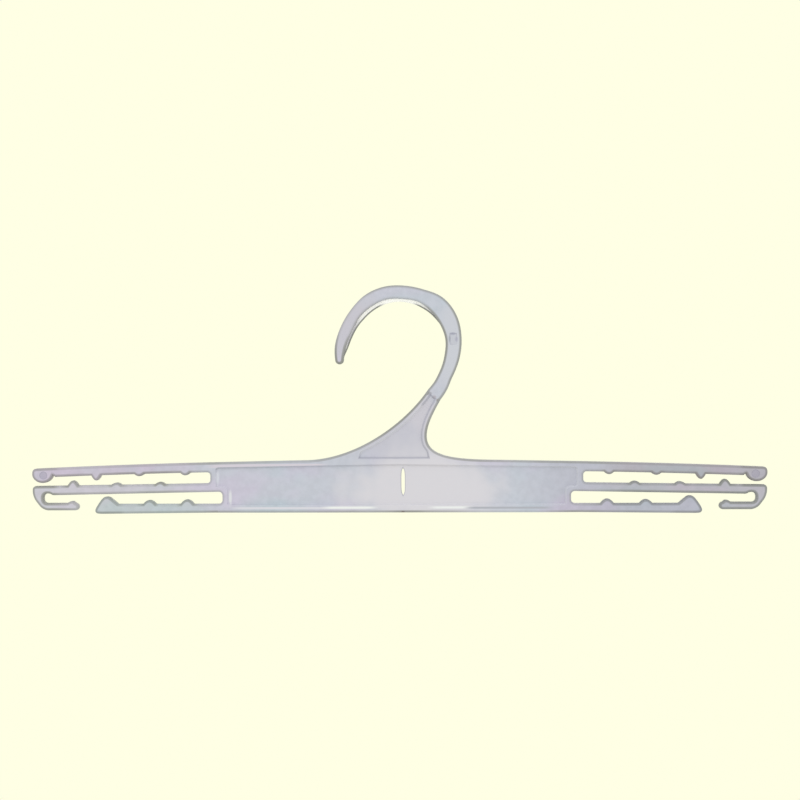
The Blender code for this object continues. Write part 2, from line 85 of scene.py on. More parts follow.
ROOT_BODY = "root"
IMAGE_SIDE = 800
SEED_SIZE = 0.5 * MM
NEAR = 0.002 * MM
WELD = 0.0005 * MM
SMOOTH_DEG = 38.0
QUARTER_PULL = 0.448
DIRECTION_NUDGE_DEG = 0.5
TOOTH_SIDES = 14
EDGE_STEP = 2.5 * MM
SEAM_OVERLAP = 2.0 * MM
FLOW_DIVISOR = 6
SUNK_AT_MIDDLE = 2.0
PARTING_CORE = 0.05 * MM
PARTING_END = 0.14 * MM
# Ramps that turn edge nearness and sunk depth into the strength of the painted shade on edges and steps.
EDGE_STOPS = ((0.0, 0.0), (0.12, 0.3), (0.36, 0.95), (1.0, 1.0))
STEP_STOPS = (
    (0.0, 0.0), (0.02, 1.0), (0.06, 1.0), (0.083, 0.4), (0.11, 1.0), (0.45, 1.0), (0.5, 0.0), (0.53, 0.9),
)

# Values per point that the finishes read; line holds the strength of the painted shade lines.
EDGE_ATTRIBUTE = "edge"
SUNK_ATTRIBUTE = "sunk"
FAR_ATTRIBUTE = "far"
LINE_ATTRIBUTE = "line"

Point = tuple[float, float]
Sample = tuple[float, float, float]
Colour = tuple[float, float, float]
Item = bpy.types.Object
Socket = bpy.types.NodeSocket
Feed = Socket | float | tuple
WHITE: Colour = (1.0, 1.0, 1.0)
BLACK: Colour = (0.0, 0.0, 0.0)

log = logging.getLogger("hanger")


class Side(Enum):
    """The hanger's two ends, as the sign of X."""

    LEFT = -1
    RIGHT = 1


class Level(Enum):
    """The three arms at each end, from the top down."""

    UPPER = "upper"
    MIDDLE = "middle"
    LOWER = "lower"


# Values


def mm(*values: float) -> tuple[float, ...]:
    """Turn millimetres into metres."""
    return tuple(value * MM for value in values)


def mm_rows(*rows: tuple[float, ...]) -> tuple[tuple[float, ...], ...]:
    """Turn rows of millimetres into metres."""
    return tuple(mm(*row) for row in rows)


def evenly(start: float, end: float, count: int) -> list[float]:
    """Give even values from start to end, both included."""
    return [start + (end - start) * index / count for index in range(count + 1)]


@dataclass(frozen=True)
class Table:
    """Rows of a place and the values there, each column in the unit that is given."""

    rows: tuple[tuple[float, ...], ...]
    place_unit: float = 1.0
    value_unit: float = 1.0

    def column(self, index: int) -> list[float]:
        """Give a column, of which the first holds the places."""
        scale = self.value_unit if index else self.place_unit
        return [row[index] * scale for row in self.rows]

    def ends(self) -> Point:
        """Give the first and the last place."""
        return self.column(0)[0], self.column(0)[-1]

    def straight(self, place: float, index: int = 1) -> float:
        """Read a value, going straight from row to row."""
        return float(np.interp(place, self.column(0), self.column(index)))

    def smooth(self, place: float, index: int = 1) -> float:
        """Read a value, going smoothly from row to row.

        Args:
            place: The place asked for.
            index: The value's column.

        Returns:
            The value there.
        """
        places, values = self.column(0), self.column(index)
        last = len(places) - 1
        row = sum(place > knot for knot in places[1:last])

        def slope(at: int) -> float:
            """Give the slope of the values at a row."""
            start, end = max(at - 1, 0), min(at + 1, last)
            return (values[end] - values[start]) / (places[end] - places[start])

        span, rise = places[row + 1] - places[row], values[row + 1] - values[row]
        t = (place - places[row]) / span
        start_pull, end_pull = slope(row) * span, slope(row + 1) * span
        square = (3 * rise - 2 * start_pull - end_pull) * t * t
        return values[row] + start_pull * t + square + (start_pull + end_pull - 2 * rise) * t ** 3


# Drawing in the plane


def cubic(start: Point, first: Point, second: Point, end: Point, count: int) -> list[Point]:
    """Draw a cubic curve.

    Args:
        start: First point.
        first: Handle of the first point.
        second: Handle of the last point.
        end: Last point.
        count: Number of steps.

    Returns:
        The points, both ends included.
    """
    points = []
    for t in evenly(0.0, 1.0, count):
        s = 1.0 - t
        weights = (s ** 3, 3 * s * s * t, 3 * s * t * t, t ** 3)
        x, z = (sum(w * p[axis] for w, p in zip(weights, (start, first, second, end))) for axis in (0, 1))
        points.append((x, z))
    return points


def arc(centre: Point, radii: Point, start_deg: float, end_deg: float, sides: int) -> list[Point]:
    """Draw an elliptical arc.

    Args:
        centre: Its centre.
        radii: Its radii along X and Z.
        start_deg: First angle.
        end_deg: Last angle.
        sides: Number of steps.

    Returns:
        The points, both ends included.
    """
    angles = [math.radians(angle) for angle in evenly(start_deg, end_deg, sides)]
    return [(centre[0] + radii[0] * math.cos(at), centre[1] + radii[1] * math.sin(at)) for at in angles]


def between(start: Point, end: Point, share: float) -> Point:
    """Give the point at a share of the way from start to end."""
    return (start[0] + (end[0] - start[0]) * share, start[1] + (end[1] - start[1]) * share)


def rounded(path: Sequence[Point], radii: Sequence[float], sides: int = 7) -> list[Point]:
    """Round the inner corners of a path.

    Args:
        path: Its points, of which the ends only show where it comes from and goes on to.
        radii: For each inner corner, how far from it the rounding starts and ends.
        sides: Steps of each rounding.

    Returns:
        The points of the roundings.
    """
    outline = []
    for before, corner, after, radius in zip(path, path[1:], path[2:], radii):
        start, end = (between(corner, place, radius / math.dist(corner, place)) for place in (before, after))
        first, second = (between(corner, place, QUARTER_PULL) for place in (start, end))
        outline += cubic(start, first, second, end, sides)
    return outline


def flowing(points: Sequence[Point], sides: int) -> list[Point]:
    """Draw a smooth line through points.

    Args:
        points: The points that it passes.
        sides: Steps from one point to the next.

    Returns:
        The points of the line, both ends included.
    """
    line = [points[0]]
    padded = [points[0], *points, points[-1]]
    for before, low, high, after in zip(padded, padded[1:], padded[2:], padded[3:]):
        first = (low[0] + (high[0] - before[0]) / FLOW_DIVISOR, low[1] + (high[1] - before[1]) / FLOW_DIVISOR)
        second = (high[0] - (after[0] - low[0]) / FLOW_DIVISOR, high[1] - (after[1] - low[1]) / FLOW_DIVISOR)
        line += cubic(low, first, second, high, sides)[1:]
    return line


def straight(start: Point, end: Point, step: float) -> list[Point]:
    """Divide a straight line into steps of about one length, both ends included."""
    count = max(1, math.ceil(math.dist(start, end) / step))
    return [between(start, end, share) for share in evenly(0.0, 1.0, count)]


def mirrored(points: Sequence[Point], middle_x: float = 0.0) -> list[Point]:
    """Give the points on the other side of a middle, in the opposite order."""
    return [(2 * middle_x - x, z) for x, z in reversed(points)]


def heading(start: Point, end: Point) -> Point:
    """Give the direction from start to end, at length one."""
    length = math.hypot(end[0] - start[0], end[1] - start[1])
    return ((end[0] - start[0]) / length, (end[1] - start[1]) / length)


def shifted(point: Point, direction: Point, distance: float) -> Point:
    """Move the point along a direction."""
    return (point[0] + direction[0] * distance, point[1] + direction[1] * distance)


def offset_line(line: Sequence[Point], distance: float) -> list[Point]:
    """Move a line to its left side.

    Args:
        line: The points of the line.
        distance: How far it moves.

    Returns:
        The moved points.
    """
    moved = []
    for before, point, after in zip([line[0], *line], line, [*line[1:], line[-1]]):
        along = heading(before, after)
        moved.append(shifted(point, (-along[1], along[0]), distance))
    return moved


def stretch(line: Sequence[Point], top_z: float, bottom_z: float) -> list[Point]:
    """Take the stretch of a falling line between two heights, starting and ending on them.

    Args:
        line: The points of the line, from the top down.
        top_z: The height where the stretch starts.
        bottom_z: The height where it ends.

    Returns:
        The points of the stretch.
    """
    ends = []
    for height in (top_z, bottom_z):
        count = sum(point[1] > height for point in line)
        low, high = line[count], line[count - 1]
        ends.append(between(high, low, (high[1] - height) / (high[1] - low[1])))
    return [ends[0]] + [point for point in line if bottom_z < point[1] < top_z] + [ends[1]]


# Finishes


def tone(red: int, green: int, blue: int) -> Colour:
    """Turn a screen colour of 0 to 255 into the linear values that shaders use."""
    shares = [level / 255.0 for level in (red, green, blue)]
    return tuple(share / 12.92 if share <= 0.04045 else ((share + 0.055) / 1.055) ** 2.4 for share in shares)


class Wiring:
    """Short calls for wiring the nodes of one tree."""

    def __init__(self, tree: bpy.types.NodeTree) -> None:
        """Start on a tree."""
        self.tree = tree

    def add(self, kind: str, feeds: dict | None = None, **settings: object) -> bpy.types.Node:
        """Add a node.

        Args:
            kind: The node's type, without its usual prefix.
            feeds: What its inputs are given, by name or number.
            settings: Its own settings.

        Returns:
            The node.
        """
        node = self.tree.nodes.new(f"ShaderNode{kind}")
        for name, value in settings.items():
            setattr(node, name, value)
        for place, value in (feeds or {}).items():
            self.feed(node.inputs[place], value)
        return node

    def feed(self, socket: Socket, value: Feed) -> None:
        """Link an input to an output, or set its own value.

        Args:
            socket: The input.
            value: The output, or else a number, a vector or a colour.
        """
        if isinstance(value, Socket):
            self.tree.links.new(value, socket)
        else:
            is_colour = isinstance(value, tuple) and socket.type == "RGBA"
            socket.default_value = (*value, 1.0) if is_colour else value

    def math(self, operation: str, *values: Feed) -> Socket:
        """Work out one value from one or two."""
        return self.add("Math", dict(enumerate(values)), operation=operation).outputs[0]

    def vector(self, operation: str, feeds: dict[int, Feed]) -> bpy.types.NodeOutputs:
        """Work on vectors or colours."""
        return self.add("VectorMath", feeds, operation=operation).outputs

    def times(self, *values: Feed) -> Socket:
        """Multiply values with one another."""
        return reduce(lambda first, second: self.math("MULTIPLY", first, second), values)

    def mix(self, share: Feed, first: Feed, second: Feed) -> Socket:
        """Mix two colours."""
        return self.add("Mix", {0: share, 6: first, 7: second}, data_type="RGBA").outputs[2]

    def remap(self, value: Feed, low: Feed, high: Feed, start: float = 0.0, end: float = 1.0) -> Socket:
        """Bring a value smoothly from one range to another."""
        feeds = {"Value": value, "From Min": low, "From Max": high, "To Min": start, "To Max": end}
        return self.add("MapRange", feeds, interpolation_type="SMOOTHSTEP").outputs["Result"]

    def noise(self, scale: Feed, shift: float, detail: float = 2.0, squeeze: float = 1.0) -> Socket:
        """Lay noise over the piece.

        Args:
            scale: Its scale, per metre.
            shift: How far the pattern is moved, so that two noises differ.
            detail: How many finer layers it has.
            squeeze: Below one where the pattern is drawn out along the hanger.

        Returns:
            The noise's value.
        """
        place = self.add("TexCoord").outputs["Object"]
        feeds = {"Vector": place, "Scale": (squeeze, 1.0, 1.0), "Location": (shift, shift, shift)}
        moved = self.add("Mapping", feeds).outputs[0]
        return self.add("TexNoise", {"Vector": moved, "Scale": scale, "Detail": detail}).outputs["Fac"]

    def blotches(
        self, scale: Feed, shift: float, least: float = 0.0, most: float = 1.0,
        detail: float = 2.0, squeeze: float = 1.0, low: float = 0.3, high: float = 0.7,
    ) -> Socket:
        """Lay soft blotches over the piece.

        Args:
            scale: The noise's scale, per metre.
            shift: How far the pattern is moved, so that two of them differ.
            least: The value between the blotches.
            most: The value in their middles.
            detail: How many finer layers the noise has.
            squeeze: Below one where the pattern is drawn out along the hanger.
            low: The noise where a blotch starts.
            high: The noise from which on it is full.

        Returns:
            The value.
        """
        return self.remap(self.noise(scale, shift, detail, squeeze), low, high, least, most)

    def fade(self, value: Feed, start: Feed, end: Feed) -> Socket:
        """Fall smoothly from one to none while a value goes from start to end."""
        return self.remap(value, start, end, 1.0, 0.0)

    def curve(self, value: Feed, *stops: Point) -> Socket:
        """Turn a value into another.

        Args:
            value: The value.
            stops: Places on its way from 0 to 1, each with the new value there.

        Returns:
            The new value.
        """
        node = self.add("ValToRGB", {0: value})
        elements = node.color_ramp.elements
        while len(elements) < len(stops):
            elements.new(0.5)
        for element, (place, height) in zip(elements, stops):
            element.position = place
            element.color = (height, height, height, 1.0)
        return node.outputs[0]

    def attribute(self, name: str) -> Socket:
        """Read a value that the mesh carries."""
        return self.add("Attribute", attribute_name=name).outputs["Fac"]

    def axes(self) -> bpy.types.NodeOutputs:
        """Read the place on the piece, as X, Y and Z."""
        return self.add("SeparateXYZ", {0: self.add("TexCoord").outputs["Object"]}).outputs

    def painted(self, tree: bpy.types.NodeTree, feeds: dict[str, Feed]) -> Socket:
        """Place a group, feed it and give its colour."""
        return self.add("Group", feeds, node_tree=tree).outputs["Colour"]


class NodeGroup(Wiring):
    """A node group with named inputs and outputs, while it is being wired."""

    def __init__(self, name: str, inputs: dict[str, Feed], outputs: Sequence[str] = ("Colour",)) -> None:
        """Make the group and its sockets.

        Args:
            name: The group's name.
            inputs: Its inputs by name, with their usual values.
            outputs: Its outputs; those named Colour are colours, the others values.
        """
        super().__init__(bpy.data.node_groups.new(name, "ShaderNodeTree"))
        for label, value in inputs.items():
            is_colour = isinstance(value, tuple)
            self._socket(label, "INPUT", is_colour).default_value = (*value, 1.0) if is_colour else value
        for label in outputs:
            self._socket(label, "OUTPUT", label == "Colour")
        self.given = self.tree.nodes.new("NodeGroupInput").outputs
        self.result = self.tree.nodes.new("NodeGroupOutput").inputs

    def _socket(self, label: str, way: str, is_colour: bool) -> bpy.types.NodeTreeInterfaceSocket:
        """Add an input or an output to the group."""
        kind = "NodeSocketColor" if is_colour else "NodeSocketFloat"
        return self.tree.interface.new_socket(name=label, in_out=way, socket_type=kind)

    def give(self, label: str, value: Socket) -> None:
        """Put a value out of the group."""
        self.feed(self.result[label], value)


class Effects:
    """The node groups that the hanger's finishes share, each built once."""

    def __init__(self) -> None:
        """Build every group."""
        self.haze = self._haze()
        self.end_shade = self._end_shade()
        self.cloud = self._cloud()
        self.gleam = self._gleam()
        self.lines = self._lines()
        self.skin = self._skin()

    @staticmethod
    def _haze() -> bpy.types.NodeTree:
        """Build the milky patches, the face's colour made bluer and pinker, with a fine mottle.

        Returns:
            The node group.
        """
        inputs = {"Face": WHITE, "Cool": WHITE, "Warm": WHITE, "Patch Scale": 60.0, "Amount": 1.0}
        w = NodeGroup("milky_haze", inputs)
        colour = w.given["Face"]
        for name, shift in (("Cool", 0.0), ("Warm", 3.7)):
            patch = w.blotches(w.given["Patch Scale"], shift, squeeze=0.55, low=0.42, high=0.68)
            tinted = w.vector("MULTIPLY", {0: w.given["Face"], 1: w.given[name]})[0]
            colour = w.mix(w.times(patch, w.given["Amount"]), colour, tinted)
        mottle = w.blotches(420.0, 0.0, least=0.965, most=1.03, detail=3.0)
        w.give("Colour", w.vector("SCALE", {0: colour, 3: mottle})[0])
        return w.tree

    @staticmethod
    def _end_shade() -> bpy.types.NodeTree:
        """Build the painted shade that slowly darkens the tone along the hanger.

        Returns:
            The node group.
        """
        w = NodeGroup("painted_end_shade", {"Colour": WHITE, "Far": WHITE, "From X": 0.0, "To X": 0.1})
        share = w.remap(w.axes()[0], w.given["From X"], w.given["To X"])
        w.give("Colour", w.mix(share, w.given["Colour"], w.given["Far"]))
        return w.tree

    @staticmethod
    def _cloud() -> bpy.types.NodeTree:
        """Build a ragged cloud of another tone round a place.

        Returns:
            The node group.
        """
        inputs = {"Colour": WHITE, "Cloud": WHITE, "X": 0.0, "Z": 0.0, "Reach X": 0.04, "Reach Z": 0.04}
        w = NodeGroup("soft_cloud", inputs)
        place = w.axes()
        squares = []
        for axis in ("X", "Z"):
            off = w.math("DIVIDE", w.math("SUBTRACT", place[axis], w.given[axis]), w.given[f"Reach {axis}"])
            squares.append(w.times(off, off))
        ragged = w.blotches(70.0, 9.1, least=-0.18, most=0.18)
        reach = w.math("ADD", w.math("SQRT", w.math("ADD", *squares)), ragged)
        w.give("Colour", w.mix(w.fade(reach, 0.35, 1.0), w.given["Colour"], w.given["Cloud"]))
        return w.tree

    @staticmethod
    def _gleam() -> bpy.types.NodeTree:
        """Build a stretch of a rim's flat face in another tone, a painted highlight or a painted dark line,
        between two places along the hanger.

        Returns:
            The node group.
        """
        inputs = {"Colour": WHITE, "Pale": WHITE, "From X": 0.0, "To X": 0.1, "From Z": 0.0, "To Z": 0.1}
        w = NodeGroup("painted_rim_gleam", inputs)
        place = w.axes()
        edge_end, sunk_end = 0.35, 0.05
        shares = [w.fade(w.attribute(EDGE_ATTRIBUTE), 0.0, edge_end)]
        shares.append(w.fade(w.attribute(SUNK_ATTRIBUTE), 0.0, sunk_end))
        for axis, soft in (("X", 6.0 * MM), ("Z", 0.2 * MM)):
            start, end = w.given[f"From {axis}"], w.given[f"To {axis}"]
            shares.append(w.remap(place[axis], start, w.math("ADD", start, soft)))
            shares.append(w.fade(place[axis], w.math("SUBTRACT", end, soft), end))
        w.give("Colour", w.mix(w.times(*shares), w.given["Colour"], w.given["Pale"]))
        return w.tree

    @staticmethod
    def _lines() -> bpy.types.NodeTree:
        """Build the painted shade on rounded edges, and the painted shade or painted highlight on the steps
        into the panels.

        Returns:
            The node group.
        """
        inputs = {"Colour": WHITE, "Edge": WHITE, "Step": WHITE, "Pale": WHITE, "Width": 1.0}
        w = NodeGroup("painted_shade_lines", inputs)
        strength = w.attribute(LINE_ATTRIBUTE)
        wide = w.times(w.attribute(EDGE_ATTRIBUTE), w.given["Width"])
        # Noise that breaks up the painted edge shade along the edges.
        shade_breakup = w.blotches(55.0, 5.3, least=0.75, high=0.65)
        edge = w.times(w.curve(wide, *EDGE_STOPS), shade_breakup, strength)
        sunk = w.times(w.attribute(SUNK_ATTRIBUTE), 1.0 / SUNK_AT_MIDDLE)
        step = w.times(w.curve(sunk, *STEP_STOPS), strength)
        # A step whose strength is below zero gets a painted highlight in the Pale tone instead of painted
        # shade.
        colour = w.mix(w.times(step, -1.0), w.given["Colour"], w.given["Pale"])
        w.give("Colour", w.mix(edge, w.mix(step, colour, w.given["Step"]), w.given["Edge"]))
        return w.tree

    @staticmethod
    def _skin() -> bpy.types.NodeTree:
        """Build the moulded skin: slow waves, fine grain and the parting line round the edge.

        Returns:
            The node group.
        """
        inputs = {"Roughness": 0.38, "Wave Scale": 150.0, "Grain Scale": 1900.0}
        w = NodeGroup("moulded_skin", inputs, ("Roughness", "Height"))
        wave = w.noise(w.given["Wave Scale"], 1.3, squeeze=0.5)
        grain = w.noise(w.given["Grain Scale"], 2.1)
        parting = w.fade(w.math("ABSOLUTE", w.axes()["Y"]), PARTING_CORE, PARTING_END)
        wave_height, grain_height, parting_height = 0.7, 0.12, 0.5
        height = w.math("ADD", w.times(wave, wave_height), w.times(grain, grain_height))
        w.give("Height", w.math("ADD", height, w.times(parting, parting_height)))
        smear = w.blotches(90.0, 6.4, least=-0.07, most=0.07, detail=3.0, squeeze=0.3)
        w.give("Roughness", w.math("ADD", w.given["Roughness"], smear))
        return w.tree


@dataclass(frozen=True)
class Gleam:
    """A painted highlight along a stretch of a rim, or a painted dark line on it: its ends in X and in Z, in
    millimetres, and its tone.
    """

    ends_x: Point
    ends_z: Point
    pale: Colour

    def over(self, w: Wiring, effects: Effects, face: Feed) -> Socket:
        """Lay the gleam over a colour."""
        ends = dict(zip(("From X", "To X", "From Z", "To Z"), mm(*self.ends_x, *self.ends_z)))
        return w.painted(effects.gleam, {"Colour": face, "Pale": self.pale} | ends)


@dataclass(frozen=True)
class Cloud:
    """A ragged patch of another tone: its middle and its reach, in millimetres, and its tone."""

    middle: Point
    reach: Point
    colour: Colour

    def over(self, w: Wiring, effects: Effects, face: Feed) -> Socket:
        """Lay the patch over a colour."""
        places = dict(zip(("X", "Z", "Reach X", "Reach Z"), mm(*self.middle, *self.reach)))
        return w.painted(effects.cloud, {"Colour": face, "Cloud": self.colour} | places)


@dataclass(frozen=True)
class Finish:
    """A finish, whose material is made once and shared."""

    name: str

    def dress(self, item: Item, effects: Effects) -> None:
        """Give a piece this finish.

        Args:
            item: The piece.
            effects: The node groups that the finish draws on.
        """
        material = bpy.data.materials.get(self.name)
        if material is None:
            material = bpy.data.materials.new(self.name)
            material.use_nodes = True
            shader = material.node_tree.nodes["Principled BSDF"].inputs
            self.wire(Wiring(material.node_tree), shader, effects)
        item.data.materials.clear()
        item.data.materials.append(material)

    def wire(self, w: Wiring, shader: bpy.types.NodeInputs, effects: Effects) -> None:
        """Wire the material's shader."""
        raise NotImplementedError


@dataclass(frozen=True)
class FrostedPlastic(Finish):
    """The milky moulded plastic of the hanger, with painted shade on its edges, steps and right end, painted
    highlights on its rims, and the tone and painted shade that an arm takes towards its tip.
    """

    # An arm's tone towards its tip, painted darker on the right arms as painted shade, and the painted shade
    # of its edges and steps.
    arm_tone_and_shade: Colour = tone(199, 203, 212)
    tint_edge: Colour = tone(140, 142, 138)
    tint_step: Colour = tone(160, 156, 176)
    tint_width: float = 1.25
    edge_width: float = 1.0
    face: Colour = tone(199, 203, 213)
    haze: float = 0.9
    cool: Colour = (0.915, 1.01, 0.99)
    warm: Colour = (1.075, 0.968, 1.04)
    # Painted shade: the face darkens towards the right end of the hanger.
    far: Colour = tone(188, 190, 202)
    end_shade_from: float = 45.0 * MM
    end_shade_to: float = 75.0 * MM
    plate_clouds: tuple[Cloud, ...] = (
        Cloud((0.0, -56.0), (30.0, 18.0), tone(200, 200, 210)),
        Cloud((11.0, -77.0), (42.0, 24.0), tone(219, 217, 222)),
    )
    hook_clouds: tuple[Cloud, ...] = (
        Cloud((-19.0, -12.0), (15.0, 24.0), tone(202, 200, 209)),
        Cloud((24.5, -20.0), (10.0, 26.0), tone(205, 208, 215)),
        Cloud((12.0, -46.0), (9.0, 11.0), tone(207, 205, 213)),
    )
    # Painted highlights on the panel floor beside the steps at its left end.
    slot_highlights: tuple[Cloud, ...] = (
        Cloud((-74.2, -73.0), (1.1, 4.8), tone(218, 220, 229)),
        Cloud((-68.9, -80.6), (1.1, 4.8), tone(228, 229, 232)),
    )
    mark_strokes: tuple[Cloud, ...] = (
        Cloud((23.9, -13.4), (2.2, 0.85), tone(171, 173, 189)),
        Cloud((22.6, -15.5), (0.65, 2.5), tone(172, 177, 185)),
        Cloud((25.4, -15.7), (1.1, 1.8), tone(184, 185, 199)),
    )
    neck_band: tuple[Cloud, ...] = (
        Cloud((14.2, -38.1), (1.3, 1.0), tone(168, 168, 176)),
        Cloud((16.1, -39.6), (1.3, 1.2), tone(184, 179, 187)),
        Cloud((17.5, -40.8), (1.0, 0.9), tone(170, 165, 168)),
    )
    # Painted highlights on the rims; the last one is a painted dark line on the bottom rim.
    rim_gleams: tuple[Gleam, ...] = (
        Gleam((-80.0, -27.0), (-68.6, -66.8), tone(216, 210, 219)),
        Gleam((-70.0, -8.0), (-85.8, -84.7), tone(220, 220, 226)),
        Gleam((-32.0, -6.0), (-85.6, -84.5), tone(242, 245, 241)),
        Gleam((12.0, 33.0), (-85.6, -84.5), tone(240, 243, 241)),
        Gleam((27.0, 66.0), (-85.7, -84.7), tone(178, 181, 189)),
    )
    gate: Cloud = Cloud((3.0, -86.8), (1.3, 0.7), tone(126, 118, 114))
    # Painted shade on the rounded edges and on the steps into the panels, and the painted highlight of steps
    # whose strength is below zero.
    edge: Colour = tone(148, 149, 144)
    step: Colour = tone(170, 171, 184)
    pale: Colour = tone(226, 227, 233)
    roughness: float = 0.4
    bump: float = 0.25
    bump_depth: float = 0.04 * MM

    def wire(self, w: Wiring, shader: bpy.types.NodeInputs, effects: Effects) -> None:
        """Wire the material's shader.

        Args:
            w: The material's wiring.
            shader: The shader's inputs.
            effects: The node groups.
        """
        far = w.attribute(FAR_ATTRIBUTE)
        feeds = {"Colour": self.face, "Far": self.far, "From X": self.end_shade_from, "To X": self.end_shade_to}
        face = w.mix(far, w.painted(effects.end_shade, feeds), self.arm_tone_and_shade)
        feeds = {"Face": face, "Cool": self.cool, "Warm": self.warm, "Amount": self.haze}
        face = w.painted(effects.haze, feeds)
        clouds = self.plate_clouds + self.hook_clouds + self.slot_highlights + self.mark_strokes + self.neck_band
        for patch in clouds + self.rim_gleams:
            face = patch.over(w, effects, face)
        feeds = {
            "Colour": face,
            "Edge": w.mix(far, self.edge, self.tint_edge),
            "Step": w.mix(far, self.step, self.tint_step),
            "Pale": self.pale,
            "Width": w.remap(far, 0.0, 1.0, self.edge_width, self.tint_width),
        }
        lined = w.painted(effects.lines, feeds)
        w.feed(shader["Base Color"], self.gate.over(w, effects, lined))
        skin = w.add("Group", {"Roughness": self.roughness}, node_tree=effects.skin).outputs
        w.feed(shader["Roughness"], skin["Roughness"])
        feeds = {"Strength": self.bump, "Distance": self.bump_depth, "Height": skin["Height"]}
        w.feed(shader["Normal"], w.add("Bump", feeds).outputs["Normal"])


@dataclass(frozen=True)
class ClearLip(Finish):
    """The thin see-through lip inside the hook, with a painted glow on its band and painted shade along its
    free edge, except at the crown.
    """

    band: Colour = tone(253, 253, 250)
    edge: Colour = tone(128, 130, 124)
    fused: Colour = tone(203, 200, 208)
    band_alpha: float = 0.55
    edge_alpha: float = 0.95
    painted_band_glow: float = 0.16
    crown_x: float = 1.6 * MM
    crown_clear: float = 5.0 * MM
    crown_fade: float = 9.0 * MM
    crown_line: float = 0.05
    line_stops: tuple[Point, ...] = ((0.0, 0.0), (0.12, 0.1), (0.45, 0.95), (1.0, 1.0))
    roughness: float = 0.3

    def wire(self, w: Wiring, shader: bpy.types.NodeInputs, effects: Effects) -> None:
        """Wire the material's shader.

        Args:
            w: The material's wiring.
            shader: The shader's inputs.
            effects: The node groups.
        """
        # Painted shade along the free edge, faded out round the crown.
        off = w.math("ABSOLUTE", w.math("SUBTRACT", w.axes()["X"], self.crown_x))
        line = w.curve(w.attribute(EDGE_ATTRIBUTE), *self.line_stops)
        line = w.times(line, w.remap(off, self.crown_clear, self.crown_fade, self.crown_line, 1.0))
        fused = w.attribute(FAR_ATTRIBUTE)
        solid = w.math("MAXIMUM", line, fused)
        w.feed(shader["Base Color"], w.mix(line, w.mix(fused, self.band, self.fused), self.edge))
        w.feed(shader["Alpha"], w.remap(solid, 0.0, 1.0, self.band_alpha, self.edge_alpha))
        # A painted glow on the see-through band.
        w.feed(shader["Emission Color"], w.mix(solid, self.band, BLACK))
        w.feed(shader["Emission Strength"], self.painted_band_glow)
        skin = w.add("Group", {"Roughness": self.roughness}, node_tree=effects.skin).outputs
        w.feed(shader["Roughness"], skin["Roughness"])


# The bench


@dataclass(frozen=True)
class Relief:
    """How deep the moulding's faces lie and how its edges are rounded, from the middle plane."""

    half_thickness: float = 1.8 * MM
    rim_radius: float = 0.85 * MM
    rim_segments: int = 6
    support: float = 0.06 * MM
    shoulder: float = 0.3 * MM

    def rim_steps(self) -> list[Point]:
        """Give the insets that round the rim, as width and rise, the last ones flat.

        Returns:
            The insets.
        """
        steps = []
        angles = evenly(0.0, math.pi / 2, self.rim_segments)
        for low, high in zip(angles, angles[1:]):
            width, rise = math.cos(low) - math.cos(high), math.sin(high) - math.sin(low)
            steps.append((self.rim_radius * width, self.rim_radius * rise))
        return steps + [(self.support, 0.0), (self.shoulder, 0.0)]


EJECTOR_MARK = mm_rows((0.06, 0.0), (0.06, 0.02), (0.08, 0.08), (0.08, 0.05), (0.06, 0.0))


def deselect_all() -> None:
    """Leave edit mode with nothing selected."""
    if bpy.context.object and bpy.context.object.mode != "OBJECT":
        bpy.ops.object.mode_set(mode="OBJECT")
    bpy.ops.object.select_all(action="DESELECT")


def write_values(piece: Item, name: str, values: Sequence[float]) -> None:
    """Write down a value for each of a piece's points, for its material to read.

    Args:
        piece: The piece.
        name: The attribute that holds the values.
        values: One value for each point.
    """
    attributes = piece.data.attributes
    attribute = attributes.get(name) or attributes.new(name, "FLOAT", "POINT")
    attribute.data.foreach_set("value", np.asarray(values, dtype=np.float32))


def read_values(piece: Item, name: str) -> list[float]:
    """Read what was written down for a piece's points."""
    return [row.value for row in piece.data.attributes[name].data]


